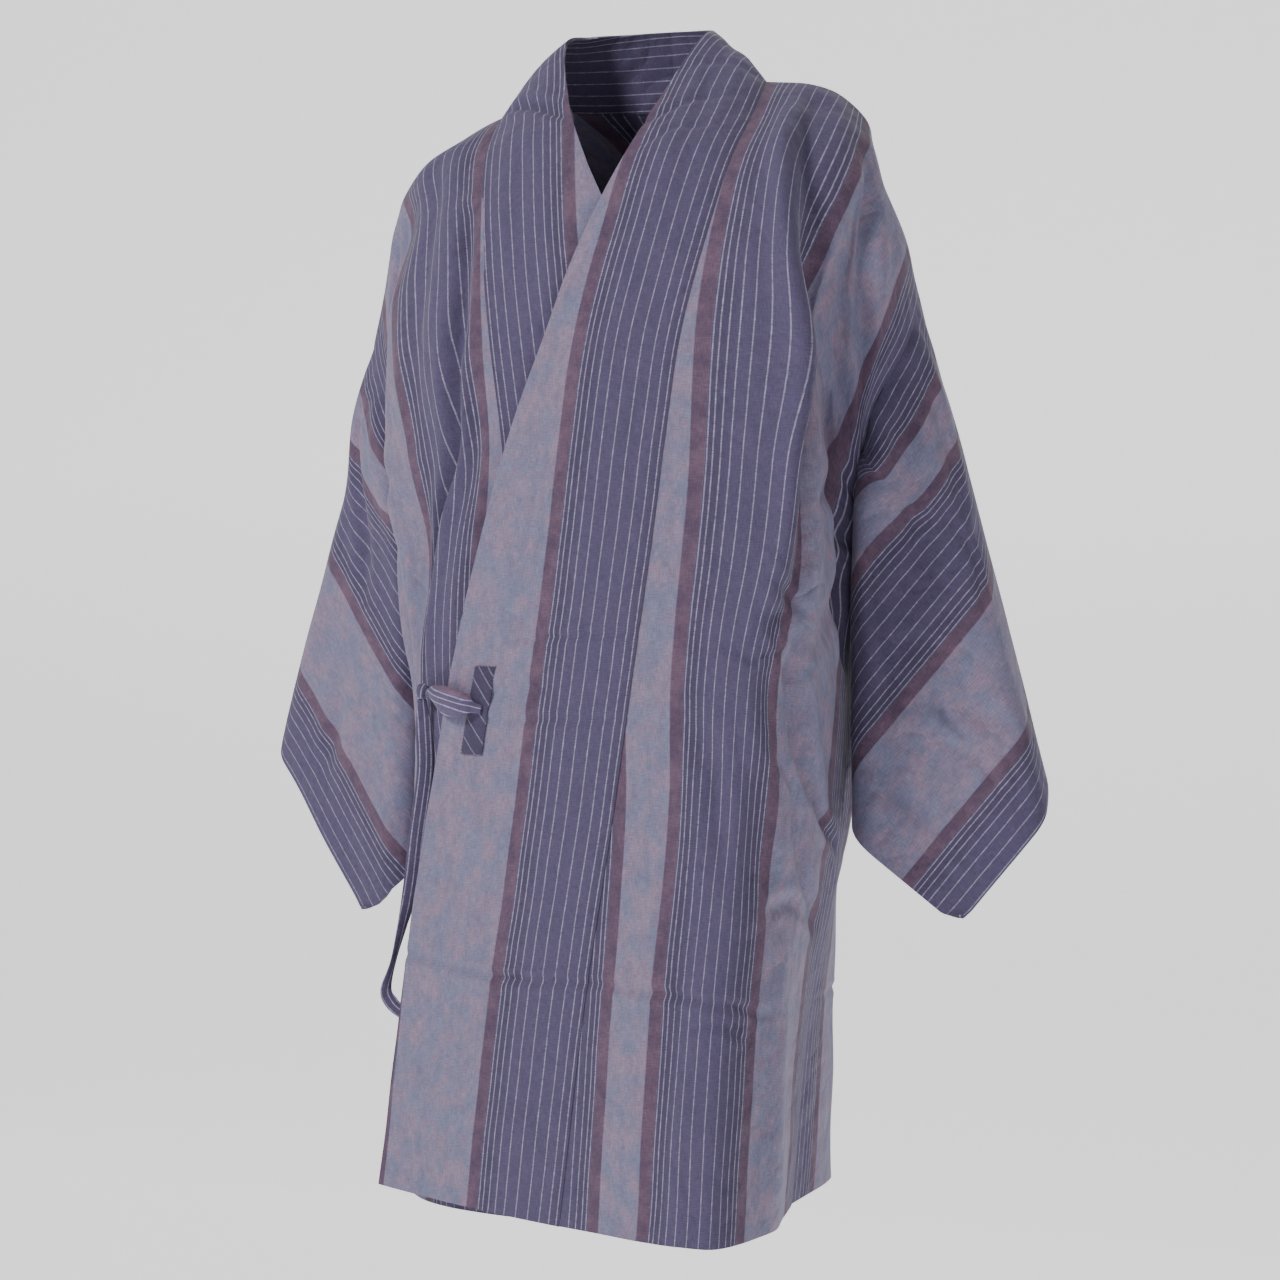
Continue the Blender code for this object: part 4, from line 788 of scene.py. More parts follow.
class Socket:
    """A node's output that ordinary arithmetic can be done with."""

    def __init__(self, board, output):
        self.board, self.output = board, output

    def beside(self, name):
        """Another output of the same node."""
        return Socket(self.board, self.output.node.outputs[name])

    def math(self, operation, *others):
        return self.board.node("ShaderNodeMath", {"operation": operation}, [self, *others])

    def __add__(self, other):
        return self.math("ADD", other)

    __radd__ = __add__

    def __sub__(self, other):
        return self.math("SUBTRACT", other)

    def __rsub__(self, other):
        return self.board.node("ShaderNodeMath", {"operation": "SUBTRACT"}, [other, self])

    def __mul__(self, other):
        return self.math("MULTIPLY", other)

    def __truediv__(self, other):
        return self.math("DIVIDE", other)

    def __abs__(self):
        return self.math("ABSOLUTE")

    def least(self, other):
        return self.math("MINIMUM", other)

    def wrapped(self, period):
        return self.math("WRAP", period, 0.0)

    def rise(self, low, high):
        """Nought below low, one above high and smooth between them."""
        return self.board.node("ShaderNodeMapRange", {"interpolation_type": "SMOOTHSTEP"},
                               {"Value": self, "From Min": low, "From Max": high})


class Board:
    """The nodes of one tree, which may be a material's or a geometry group's."""

    def __init__(self, tree):
        self.tree = tree

    def node(self, kind, settings=None, values=(), output=0):
        made = self.tree.nodes.new(kind)
        for name, setting in (settings or {}).items():
            setattr(made, name, setting)
        pairs = values.items() if isinstance(values, dict) else enumerate(values)
        for name, value in pairs:
            self.feed(made.inputs[name], value)
        return Socket(self, made.outputs[output]) if made.outputs else None

    def feed(self, entry, value):
        if isinstance(value, Socket):
            self.tree.links.new(value.output, entry)
        else:
            entry.default_value = value

    def blend(self, share, first, second):
        """A mix of two colours, whose sockets Blender finds only by number."""
        return self.node("ShaderNodeMix", {"data_type": "RGBA"},
                         {0: share, 6: first, 7: second}, output=2)

    def cover(self, value, spread, first, second):
        """The second colour over the first, wherever value is high."""
        low, high, most = spread
        return self.blend(value.rise(low, high) * most, first, second)

    def noise(self, u, v, across, along, seed, scale, detail, roughness):
        place = self.node("ShaderNodeCombineXYZ", {}, [u * across, v * along, seed])
        return self.node("ShaderNodeTexNoise", {},
                         {"Vector": place, "Scale": scale, "Detail": detail,
                          "Roughness": roughness})

    def set_shader(self, values):
        """Set or link inputs of the material's shader by their names."""
        for name, value in values.items():
            self.feed(self.tree.nodes["Principled BSDF"].inputs[name], value)


def new_material(name):
    material = bpy.data.materials.new(name)
    material.use_nodes = True
    return material, Board(material.node_tree)


def stripes(u):
    """Distance from the nearest band's centre, in millimetres, and the shares of band and plum."""
    at = (u + WHOLE_REPEATS).wrapped(STRIPE_REPEAT)
    band = abs(at - BAND_CENTRES[0])
    for centre in BAND_CENTRES[1:]:
        band = band.least(abs(at - centre))
    in_band = 1.0 - band.rise(BAND_HALF - BAND_SOFT, BAND_HALF + BAND_SOFT)
    plum_end = BAND_HALF + PLUM_WIDTH
    in_plum = (1.0 - in_band) * (1.0 - band.rise(plum_end - PLUM_SOFT, plum_end + PLUM_SOFT))
    return band, in_band, in_plum


def pin_lines(band):
    lines = [1.0 - abs(band - pin).rise(PIN_HALF - PIN_SOFT, PIN_HALF + PIN_SOFT)
             for pin in PIN_PLACES]
    return sum(lines[1:], lines[0])


def striped_cloth(name, phase, painted_light_and_shade=1.0):
    """Woven cloth whose stripes run along V and are placed by U, both in metres."""
    material, board = new_material(name)
    place = board.node("ShaderNodeUVMap", {"uv_map": "cloth"})
    split = board.node("ShaderNodeSeparateXYZ", {}, [place])
    u, v = split / MM, split.beside("Y") / MM
    noise = {word: board.noise(u, v, *row) for word, row in NOISES.items()}
    band, in_band, in_plum = stripes(u + (noise["drift"] - 0.5) * DRIFT + phase)
    line = pin_lines(band)
    grain = noise["warp"] + noise["weft"] - 1.0
    light = board.cover(noise["patch"], PINK_OVER_BLUE, LIGHT_BLUE, LIGHT_PINK)
    light = board.cover(noise["cloud"], DEEP_OVER_LIGHT, light, LIGHT_DEEP)
    plum = board.cover(noise["patch"], WARM_OVER_PLUM, PLUM_DEEP, PLUM_WARM)
    ground = board.cover(band, DEEP_OVER_BAND, BAND_GROUND, BAND_DEEP)
    ground = board.cover(noise["patch"], WARM_OVER_BAND, ground, BAND_WARM)
    pin_share = (line * (PIN_SHARE + grain * PIN_GRAIN)).least(1.0).math("MAXIMUM", 0.0)
    banded = board.blend(pin_share, ground, PIN_COLOUR)
    cloth = board.blend(in_band, board.blend(in_plum, light, plum), banded)
    # The grain's change of colour is the weave's own; the factor paints light and shade onto the
    # tie's parts.
    shade = (1.0 + grain * GRAIN_SHADE) * painted_light_and_shade
    shaded = board.node("ShaderNodeVectorMath", {"operation": "SCALE"}, {0: cloth, "Scale": shade})
    rumple = noise["rumple"] + abs(noise["pinch"] - 0.5) * PINCH_SHARE
    soft = board.node("ShaderNodeBump", {}, {**SOFT_BUMP, "Height": rumple})
    weave = grain + line * in_band * PIN_RAISED
    bump = board.node("ShaderNodeBump", {}, {**WEAVE_BUMP, "Height": weave, "Normal": soft})
    board.set_shader({**CLOTH_FINISH, "Base Color": shaded, "Normal": bump})
    return material


def plain(name, finish):
    """One colour all over, its shader set by the named values in finish."""
    material, board = new_material(name)
    board.set_shader(finish)
    return material


def add_object(name, data):
    """A new object in the scene, at the origin and unturned."""
    thing = bpy.data.objects.new(name, data)
    bpy.context.scene.collection.objects.link(thing)
    return thing


def mesh_piece(name, points, faces, uvs, material):
    """One object from points in metres, four- or three-cornered faces and a place on the cloth."""
    mesh = bpy.data.meshes.new(name)
    mesh.from_pydata([tuple(point) for point in points], [], faces)
    layer = mesh.uv_layers.new(name="cloth")
    corners = np.empty(len(mesh.loops), dtype=np.int32)
    mesh.loops.foreach_get("vertex_index", corners)
    layer.data.foreach_set("uv", uvs[corners].astype(np.float32).ravel())
    mesh.shade_smooth()
    work = bmesh.new()
    work.from_mesh(mesh)
    bmesh.ops.recalc_face_normals(work, faces=work.faces[:])
    if work.calc_volume(signed=True) < 0:
        bmesh.ops.reverse_faces(work, faces=work.faces[:])
    work.to_mesh(mesh)
    work.free()
    mesh.set_sharp_from_angle(angle=SHARP_ANGLE)
    mesh.materials.append(material)
    return add_object(name, mesh)


def cloth_piece(name, outer, out, u, v, material, closed=False, wall=WALL):
    """A closed thin shell of cloth, its outer grid in metres and its cloth places in cm."""
    rows, columns = outer.shape[:2]
    count = rows * columns
    points = np.concatenate([outer.reshape(-1, 3), (outer - out * wall).reshape(-1, 3)])
    flat = np.stack([u.ravel(), v.ravel()], -1) * CM
    i, j = np.meshgrid(np.arange(rows - 1), np.arange(columns if closed else columns - 1),
                       indexing="ij")
    k = (j + 1) % columns
    quads = np.stack([i * columns + j, i * columns + k, (i + 1) * columns + k,
                      (i + 1) * columns + j], -1).reshape(-1, 4)
    rims = []
    for row in (0, rows - 1):
        a = row * columns + np.arange(columns if closed else columns - 1)
        b = row * columns + (np.arange(columns if closed else columns - 1) + 1) % columns
        rims.append(np.stack([a, a + count, b + count, b], -1))
    if not closed:
        for column_at in (0, columns - 1):
            a = np.arange(rows - 1) * columns + column_at
            rims.append(np.stack([a, a + columns, a + columns + count, a + count], -1))
    faces = np.concatenate([quads, quads[:, ::-1] + count, *rims])
    return mesh_piece(name, points, faces.tolist(), np.concatenate([flat, flat]), material)


def declare(piece, *nodes):
    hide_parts(*nodes)
    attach(piece, "root")


def outward(grid, hint):
    """Unit directions off a grid, on the side that the hint names at its middle."""
    normal = grid_normals(grid)
    middle = tuple(size // 2 for size in grid.shape[:2])
    return normal if normal[middle] @ np.array(hint) > 0 else -normal


def body_rows(step):
    """Places of the rows down the body, close enough for its creases."""
    return np.linspace(0.0, COAT_LENGTH, int(COAT_LENGTH / step) + 1)


SIDES = (("left", "overlap", 1, LEFT_FRONT, LEFT_STRIP),
         ("right", "underlap", -1, RIGHT_FRONT, RIGHT_STRIP))


def dressed_sheet(name, kind, side, grid, u, v, sewn, settings, held=HELD_FADE):
    """A shell over a grid in metres, with its piece's creases and its own slow waves."""
    sheet = SHEETS[kind]
    hint = (sheet["looks"][0] * side, sheet["looks"][1], 0.0)
    out = outward(grid, hint)
    grid = creased(grid, out, u, v, CREASES[name], settings.crease, held)
    grid = soft_waves(grid, out, u, v, side + sheet["seed"], settings.wave * sheet["waves"], sewn)
    return cloth_piece("cloth_" + name, grid, outward(grid, hint), u, v,
                       striped_cloth(name + "_cloth", sheet["phase"]), wall=sheet["wall"])


def front_piece(word, side, front, strip, settings):
    along = body_rows(settings.row_step)
    across = shares(int(SEAM_DISTANCE[-1] / settings.column_step))
    grid = front_grid(front, strip, across, along) * CM
    u = across[None] * seam_reach(along)[:, None]
    v = np.repeat(along[:, None], len(across), axis=1)
    sewn = np.minimum(np.minimum(u, u[:, -1:] - u), v)
    piece = dressed_sheet(word + "_front", "front", side, grid, u, v, sewn, settings, held=u)
    declare(piece, *FRONT_NODES[word])
    area = float(seam_reach(along).mean() * BODY_FLAT[1] * CM)


def back_piece(word, side, front, strip, settings):
    along = body_rows(settings.row_step)
    across = shares(int(BACK_WIDTH / settings.column_step))
    grid = back_grid(front, strip, side, across, along) * CM
    u = np.repeat(across[None] * BACK_WIDTH, len(along), axis=0)
    v = np.repeat(along[:, None], len(across), axis=1)
    sewn = np.minimum(np.minimum(u, BACK_WIDTH - u), v)
    piece = dressed_sheet(word + "_back", "back", side, grid, u, v, sewn, settings, held=u)
    declare(piece, word + "_back")


def strip_rows(step):
    """Places of a strip's rows, from the centre back of the neck down to the hem."""
    return np.concatenate([shares(int(-NECK_BACK / step), NECK_BACK, 0.0)[:-1], body_rows(step)])


def strip_shape(strip, settings):
    along = strip_rows(settings.row_step)
    across = shares(int(STRIP_WIDTH / settings.column_step))
    grid = strip_grid(strip, across, along) * CM
    grid += outward(grid, FORWARDS) * STRIP_LIFT
    near_back = np.clip(1 - (along - NECK_BACK) / WAVE_FADE, 0, 1)
    grid[..., 0] -= grid[0, :, 0] * near_back[:, None]
    steps = np.linalg.norm(np.diff(grid, axis=1), axis=2)
    u = np.concatenate([np.zeros((len(along), 1)), np.cumsum(steps, axis=1)], axis=1) / CM
    return grid, u, np.repeat(along[:, None], len(across), axis=1)


def strip_piece(word, other, side, strip, settings):
    grid, u, v = strip_shape(strip, settings)
    node = f"{word}_{other}_strip"
    sewn = np.minimum(u, v - NECK_BACK)
    piece = dressed_sheet(node, "strip", side, grid, u, v, sewn, settings)
    declare(piece, node)


def rounded_corner(loops, t, s):
    """A sleeve whose lower corner by the cuff is drawn in to a quarter round."""
    over = np.clip((t - SLEEVE_WIDTH) / CORNER_ROUND + 1, 0, 1)
    down = np.clip((s - SLEEVE_DROP) / CORNER_ROUND + 1, 0, 1)
    move_t = over * (np.sqrt(1 - down ** 2 / 2) - 1) * CORNER_ROUND
    move_s = down * (np.sqrt(1 - over ** 2 / 2) - 1) * CORNER_ROUND
    width_way = unit(loops[-1, 0] - loops[-2, 0])
    half = int(np.argmax(s[0]))
    drop_way = unit(loops[-1, half] - loops[-1, half - CORNER_RUN])
    return loops + (move_t[..., None] * width_way + move_s[..., None] * drop_way) * CM


def sleeve_places(settings):
    """Distances across and along a sleeve for its mesh, closer together at its two folds."""
    columns = int(SLEEVE_WIDTH / settings.column_step / SLEEVE_COLUMN_SHARE)
    edge = np.array(SLEEVE_EDGE)
    middle = np.arange(SLEEVE_ROWS_START, SLEEVE_DROP - SLEEVE_ROWS_END, settings.row_step)
    return (shares(columns, SEAM_GAP / CM, SLEEVE_WIDTH),
            np.concatenate([edge, middle, SLEEVE_DROP - edge[::-1]]))


def sleeve_piece(word, side, front, strip, shape, settings):
    t_line, s_line = sleeve_places(settings)
    face, rear = sleeve_layers(shape, front, t_line, s_line)
    coarse = shares(BODY_ROWS, SEAM_GAP / CM, COAT_LENGTH)
    body = body_shape([front_grid(front, strip, shares(BODY_COLUMNS["front"]), coarse),
                       back_grid(front, strip, side, shares(BODY_COLUMNS["back"]), coarse)])
    face, rear = clear_of_body(face, rear, side, body, t_line, s_line)
    loops = np.concatenate([face, rear[:, -2:0:-1]], axis=1) * CM
    t = np.repeat(t_line[:, None], loops.shape[1], axis=1)
    s = np.repeat(np.concatenate([s_line, s_line[-2:0:-1]])[None], len(t_line), axis=0)
    loops = rounded_corner(loops, t, s)
    around = np.concatenate([loops[:, -1:], loops, loops[:, :1]], axis=1)
    out = grid_normals(around)[:, 1:-1] * side
    layers = ((CREASES[word + "_sleeve"], slice(0, len(s_line))),
              (CREASES[word + "_sleeve_rear"], slice(len(s_line), None)))
    for creases, part in layers:
        loops[:, part] = creased(loops[:, part], out[:, part], t[:, part], s[:, part], creases,
                                 settings.crease, t[:, part])
    sewn = np.minimum(t, np.minimum(s, SLEEVE_DROP - s))
    loops = soft_waves(loops, out, t, s, side + SLEEVE_SEED, settings.wave, sewn)
    piece = cloth_piece("cloth_" + word + "_sleeve", loops, out, t, s,
                        striped_cloth(word + "_sleeve_cloth", SLEEVE_PHASES[word]), closed=True)
    declare(piece, word + "_sleeve")


def run_piece(name, centres, along, tall, thick, painted_light_and_shade, ridge=0.0):
    """A soft rounded run of cloth through a tie's stations, in centimetres."""
    knots = np.arange(len(centres), dtype=float)
    fine = np.linspace(0, len(centres) - 1, (len(centres) - 1) * TIE_STEPS + 1)
    along = spline(knots, np.broadcast_to(along, centres.shape), fine)
    centres = spline(knots, centres, fine)
    tall, thick = (np.maximum(spline(knots, half[:, None], fine)[:, 0], TIE_THINNEST)
                   for half in (tall, thick))
    run = unit(np.gradient(centres, axis=0))
    across = unit(along - (along * run).sum(1)[:, None] * run)
    out = np.cross(run, across)
    angle = 2 * np.pi * np.arange(TIE_SIDES) / TIE_SIDES
    folds = 1 + ridge * np.sin(TIE_FOLDS * angle[None] + fine[:, None] * FOLD_TWIST)
    ring = (across[:, None] * (tall[:, None] * np.cos(angle) * folds)[..., None]
            + out[:, None] * (thick[:, None] * np.sin(angle) * folds)[..., None])
    points = (centres[:, None] + ring).reshape(-1, 3) * CM
    length = np.concatenate([[0], np.cumsum(np.linalg.norm(np.diff(centres, axis=0), axis=1))])
    uvs = np.stack([np.cos(angle)[None] * tall[:, None],
                    np.repeat(length[:, None], TIE_SIDES, axis=1)], -1).reshape(-1, 2) * CM
    faces = []
    for i in range(len(fine) - 1):
        for j in range(TIE_SIDES):
            a, b = i * TIE_SIDES + j, i * TIE_SIDES + (j + 1) % TIE_SIDES
            faces.append((a, b, b + TIE_SIDES, a + TIE_SIDES))
    faces.append(tuple(range(TIE_SIDES))[::-1])
    faces.append(tuple(range((len(fine) - 1) * TIE_SIDES, len(fine) * TIE_SIDES)))
    # The factor makes this part of the tie lighter or darker as painted light and shade.
    material = striped_cloth(name + "_cloth", TIE_PHASE, painted_light_and_shade)
    return mesh_piece(name, points, faces, uvs, material), centres * CM


def tab_places(settings):
    """The tab's outer points, laid on the overlap strip's own cloth, in metres."""
    grid, _, _ = strip_shape(LEFT_STRIP, settings)
    rows = np.interp(shares(TAB_ROWS * TAB_FINER, *TAB_DOWN), strip_rows(settings.row_step),
                     np.arange(grid.shape[0]))
    rows, columns = np.meshgrid(rows, shares(TAB_COLUMNS * TAB_FINER, *TAB_ACROSS)
                                * (grid.shape[1] - 1), indexing="ij")
    i, j = rows.astype(int), columns.astype(int)
    x, y = (rows - i)[..., None], (columns - j)[..., None]
    return ((grid[i, j] * (1 - x) + grid[i + 1, j] * x) * (1 - y)
            + (grid[i, j + 1] * (1 - x) + grid[i + 1, j + 1] * x) * y)


def tab_piece(settings):
    """Builds the tab and gives the corners of the line along which it is stitched down."""
    surface = tab_places(settings)
    out = outward(surface, FORWARDS)
    down, over = np.meshgrid(shares(TAB_ROWS * TAB_FINER, 0, TAB_LENGTH),
                             shares(TAB_COLUMNS * TAB_FINER, 0, TAB_WIDTH), indexing="ij")
    edge = np.minimum(np.minimum(down, TAB_LENGTH - down), np.minimum(over, TAB_WIDTH - over))
    lift = TAB_LIFT + TAB_RISE * np.sqrt(np.clip(edge / TAB_EDGE, 0, 1))
    slit = (np.exp(-((down - TAB_LENGTH / 2) / SLIT_HALF[0]) ** 2)
            * np.exp(-((over - TAB_WIDTH / 3) / SLIT_HALF[1]) ** 2))
    outer = surface + out * (lift + SLIT_RISE * slit)[..., None]
    # The tab's cloth is darkened as painted shade.
    piece = cloth_piece("cloth_tie_tab", outer, out, (down + over) * BIAS, (down - over) * BIAS,
                        striped_cloth("tie_tab_cloth", TAB_PHASE, TAB_PAINTED_SHADE), wall=TIE_WALL)
    declare(piece, "tie_tab")
    corners = [outer[0, 0], outer[0, -1], outer[-1, -1], outer[-1, 0], outer[0, 0]]
    return np.array(corners) + out[0, 0] * STITCH_LIFT


def tie_pieces(settings):
    """The loop from the tab's slit to the knot, the knot and the hanging end."""
    surface = tab_places(settings)
    knot = np.array(KNOT)
    slit = surface[SLIT_ROW * TAB_FINER, SLIT_COLUMN * TAB_FINER] / CM + np.array(SLIT_OFFSET)
    share, stand, tall, thick = np.array(LOOP).T
    way = knot + np.array(LOOP_END) - slit
    centres = slit + way * share[:, None] + np.outer(stand, LOOP_OUT)
    # The loop, knot and hanging end are lightened as painted light.
    loop, _ = run_piece("cloth_tie_loop", centres, (0.0, 0.0, 1.0), tall, thick, LOOP_PAINTED_LIGHT,
                        settings.tie_ridge)
    declare(loop, "tie_loop")
    down, tall, thick = np.array(KNOT_RUN).T
    tied, _ = run_piece("cloth_tie_knot", knot + np.outer(down, KNOT_WAY), (1.0, 0.0, 0.0),
                        tall, thick, KNOT_PAINTED_LIGHT, settings.tie_ridge)
    declare(tied, "tie_knot")
    *stations, tall, turned = np.array(STRAP).T
    turned = np.radians(turned)
    flat = np.stack([np.cos(turned), np.sin(turned), np.zeros(len(STRAP))], -1)
    strap, path = run_piece("cloth_tie_hanging_end", np.stack(stations, -1), flat, tall,
                            np.full(len(STRAP), STRAP_THICK), STRAP_PAINTED_LIGHT)
    declare(strap, "tie_hanging_end")


def stitch_nodes(name, material):
    """A geometry group that lays short stitches along a line."""
    tree = bpy.data.node_groups.new(name, "GeometryNodeTree")
    tree.interface.new_socket("Line", in_out="INPUT", socket_type="NodeSocketGeometry")
    inputs = [tree.interface.new_socket(word, in_out="INPUT", socket_type="NodeSocketFloat")
              for word in ("Spacing", "Thread")]
    tree.interface.new_socket("Stitches", in_out="OUTPUT", socket_type="NodeSocketGeometry")
    board = Board(tree)
    line = board.node("NodeGroupInput")
    spacing = line.beside("Spacing")
    places = board.node("GeometryNodeCurveToPoints", {"mode": "LENGTH"},
                        {"Curve": line, "Length": spacing})
    stitch = board.node("GeometryNodeMeshCylinder", {},
                        {"Vertices": STITCH_SIDES, "Radius": line.beside("Thread"),
                         "Depth": spacing * STITCH_SHARE})
    turn = board.node("FunctionNodeAlignRotationToVector", {"axis": "Z"},
                      {"Vector": places.beside("Tangent")})
    copies = board.node("GeometryNodeInstanceOnPoints", {},
                        {"Points": places, "Instance": stitch, "Rotation": turn})
    real = board.node("GeometryNodeRealizeInstances", {}, [copies])
    coloured = board.node("GeometryNodeSetMaterial", {}, {"Geometry": real, "Material": material})
    board.node("NodeGroupOutput", {}, [coloured])
    return tree, [entry.identifier for entry in inputs]


def stitch_row(name, corners, settings, material):
    """Short stitches along a line, repeated by Geometry Nodes and kept as a plain mesh."""
    curve = bpy.data.curves.new(name + "_line", "CURVE")
    curve.dimensions = "3D"
    run = curve.splines.new("POLY")
    run.points.add(len(corners) - 1)
    for point, corner in zip(run.points, corners):
        point.co = (*corner, 1.0)
    line = add_object(name + "_line", curve)
    modifier = line.modifiers.new("stitches", "NODES")
    modifier.node_group, (spacing, thread) = stitch_nodes(name, material)
    modifier[spacing] = settings.spacing
    modifier[thread] = settings.thread
    graph = bpy.context.evaluated_depsgraph_get()
    mesh = bpy.data.meshes.new_from_object(line.evaluated_get(graph), depsgraph=graph)
    bpy.data.objects.remove(line)
    piece = add_object(name, mesh)
    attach(piece, "root")


def area_light(name, place, size, power):
    """A soft round lamp that looks at the coat and isn't seen itself."""
    light = bpy.data.lights.new(name, "AREA")
    light.shape, light.size, light.energy = "DISK", size, power
    lamp = add_object(name, light)
    lamp.location = place
    lamp.rotation_euler = (Vector(CENTRE) - Vector(place)).to_track_quat("-Z", "Y").to_euler()
    lamp.visible_camera = False


def backdrop(settings):
    """A pale floor that curves up into a pale wall behind the coat, lit a little from within."""
    side_view = [(PAPER_FRONT, 0.0), (PAPER_BEND_AT, 0.0)]
    side_view += [(PAPER_BEND_AT + BEND * np.sin(a), BEND * (1 - np.cos(a)))
                  for a in shares(BEND_STEPS, BEND_START, np.pi / 2)]
    side_view += [(PAPER_BEND_AT + BEND, PAPER_TOP)]
    points = [(x, y, z + settings.floor) for y, z in side_view for x in (-PAPER_HALF, PAPER_HALF)]
    faces = [(2 * k, 2 * k + 1, 2 * k + 3, 2 * k + 2) for k in range(len(side_view) - 1)]
    mesh = bpy.data.meshes.new("backdrop")
    mesh.from_pydata(points, [], faces)
    mesh.shade_smooth()
    mesh.materials.append(plain("backdrop_paper", PAPER_FINISH))
    add_object("backdrop", mesh)


def add_camera(settings):
    data = bpy.data.cameras.new("photo_camera")
    data.lens = settings.lens
    data.clip_end = VIEW_END
    camera = add_object("photo_camera", data)
    turn = np.radians(settings.azimuth)
    camera.location = (settings.distance * np.sin(turn), -settings.distance * np.cos(turn),
                       EYE_HEIGHT)
    aim = Vector(CENTRE) - camera.location
    camera.rotation_euler = aim.to_track_quat("-Z", "Y").to_euler()
    bpy.context.scene.camera = camera


class CoatSettings(bpy.types.PropertyGroup):
    row_step: FloatProperty(name="Row step", description="Mesh rows along the cloth, in cm",
                            default=0.3, min=0.2)
    column_step: FloatProperty(name="Column step", description="Mesh columns across, in cm",
                               default=0.3, min=0.2)
    crease: FloatProperty(name="Crease strength", description="Share of the named crease depths",
                          default=1.0, min=0.0)
    wave: FloatProperty(name="Wave height", description="Height of the slow waves, in mm",
                        default=1.4, min=0.0)
    tie_ridge: FloatProperty(name="Tie folds", description="How deep the tie's folds are",
                             default=0.09, min=0.0)


class StitchSettings(bpy.types.PropertyGroup):
    spacing: FloatProperty(name="Spacing", description="From one stitch to the next",
                           default=0.0028, unit="LENGTH")
    thread: FloatProperty(name="Thread", description="Half the thread's thickness",
                          default=0.00022, unit="LENGTH")


class StudioSettings(bpy.types.PropertyGroup):
    distance: FloatProperty(name="Distance", description="From the camera to the coat's axis",
                            default=2.5, unit="LENGTH")
    azimuth: FloatProperty(name="Azimuth", description="Degrees round from the coat's front",
                           default=20.0)
    lens: FloatProperty(name="Lens", description="Focal length in millimetres", default=87.9)
    floor: FloatProperty(name="Floor", description="Height of the floor below the shoulders",
                         default=-1.42, unit="LENGTH")
    key: FloatProperty(name="Key light", description="Power of the main light", default=86.0,
                       unit="POWER")
    fill: FloatProperty(name="Fill light", description="Power of the side light", default=7.0,
                        unit="POWER")
    sky: FloatProperty(name="Sky", description="Strength of the even light", default=0.15)


class COAT_OT_fronts(bpy.types.Operator):
    """Both fronts of the coat"""
    bl_idname = "coat.fronts"
    bl_label = "Fronts"

    def execute(self, context):
        for word, _, side, front, strip in SIDES:
            front_piece(word, side, front, strip, context.scene.coat)
        return {"FINISHED"}


class COAT_OT_backs(bpy.types.Operator):
    """Both backs, joined by the centre seam"""
    bl_idname = "coat.backs"
    bl_label = "Backs"

    def execute(self, context):
        for word, _, side, front, strip in SIDES:
            back_piece(word, side, front, strip, context.scene.coat)
        return {"FINISHED"}


class COAT_OT_strips(bpy.types.Operator):
    """The overlap strip and the strip below it"""
    bl_idname = "coat.strips"
    bl_label = "Overlap strips"

    def execute(self, context):
        for word, other, side, _, strip in SIDES:
            strip_piece(word, other, side, strip, context.scene.coat)
        return {"FINISHED"}


class COAT_OT_sleeves(bpy.types.Operator):
    """Both hanging sleeves"""
    bl_idname = "coat.sleeves"
    bl_label = "Sleeves"

    def execute(self, context):
        shapes = {"left": LEFT_SLEEVE, "right": RIGHT_SLEEVE}
        for word, _, side, front, strip in SIDES:
            sleeve_piece(word, side, front, strip, shapes[word], context.scene.coat)
        return {"FINISHED"}


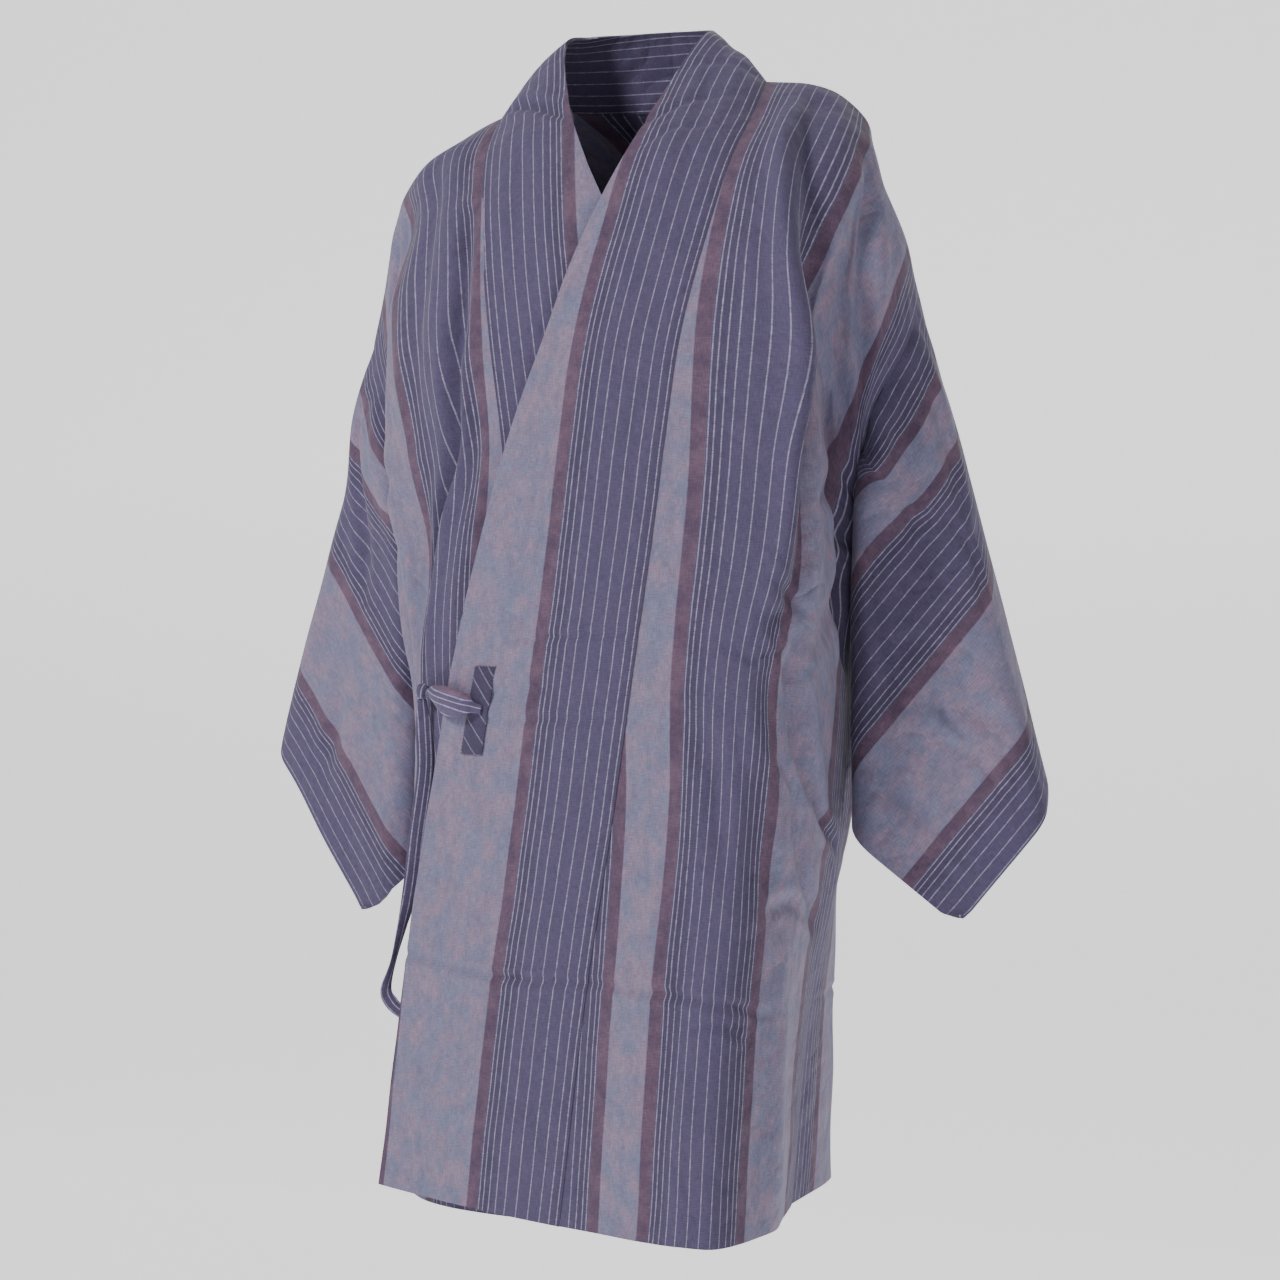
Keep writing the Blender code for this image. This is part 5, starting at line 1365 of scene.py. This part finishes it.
class COAT_OT_tie(bpy.types.Operator):
    """The tie with its loop, knot, hanging end and stitched tab"""
    bl_idname = "coat.tie"
    bl_label = "Tie"

    def execute(self, context):
        corners = tab_piece(context.scene.coat)
        tie_pieces(context.scene.coat)
        stitch_row("tab_stitches", corners, context.scene.coat_stitches,
                   plain("tab_thread", THREAD_FINISH))
        return {"FINISHED"}


class COAT_OT_studio(bpy.types.Operator):
    """Pale floor and wall, soft lights and the photo's camera"""
    bl_idname = "coat.studio"
    bl_label = "Studio"

    def execute(self, context):
        settings = context.scene.coat_studio
        backdrop(settings)
        for name, place, size, power in LAMPS:
            area_light(name, place, size, getattr(settings, power))
        world = bpy.data.worlds.new("even_light")
        world.use_nodes = True
        sky = world.node_tree.nodes["Background"]
        sky.inputs["Color"].default_value = WHITE
        sky.inputs["Strength"].default_value = settings.sky
        context.scene.world = world
        add_camera(settings)
        return {"FINISHED"}


class COAT_PT_panel(bpy.types.Panel):
    """Lists the coat's pieces and the studio"""
    bl_label = "Kimono coat"
    bl_idname = "COAT_PT_panel"
    bl_space_type = "VIEW_3D"
    bl_region_type = "UI"
    bl_category = "Kimono coat"

    def draw(self, context):
        for group in (context.scene.coat, context.scene.coat_stitches, context.scene.coat_studio):
            for name in group.__annotations__:
                self.layout.prop(group, name)
        for operator in OPERATORS:
            self.layout.operator(operator.bl_idname)


GROUPS = (CoatSettings, StitchSettings, StudioSettings)
OPERATORS = (COAT_OT_fronts, COAT_OT_backs, COAT_OT_strips, COAT_OT_sleeves, COAT_OT_tie,
             COAT_OT_studio)


def register():
    for thing in (*GROUPS, *OPERATORS, COAT_PT_panel):
        bpy.utils.register_class(thing)
    bpy.types.Scene.coat = PointerProperty(type=CoatSettings)
    bpy.types.Scene.coat_stitches = PointerProperty(type=StitchSettings)
    bpy.types.Scene.coat_studio = PointerProperty(type=StudioSettings)


def unregister():
    del bpy.types.Scene.coat, bpy.types.Scene.coat_stitches, bpy.types.Scene.coat_studio
    for thing in (COAT_PT_panel, *OPERATORS, *GROUPS):
        bpy.utils.unregister_class(thing)


def main():
    register()
    bpy.ops.coat.fronts()
    bpy.ops.coat.backs()
    bpy.ops.coat.strips()
    bpy.ops.coat.sleeves()
    bpy.ops.coat.tie()
    bpy.ops.coat.studio()


if __name__ == "__main__":
    main()
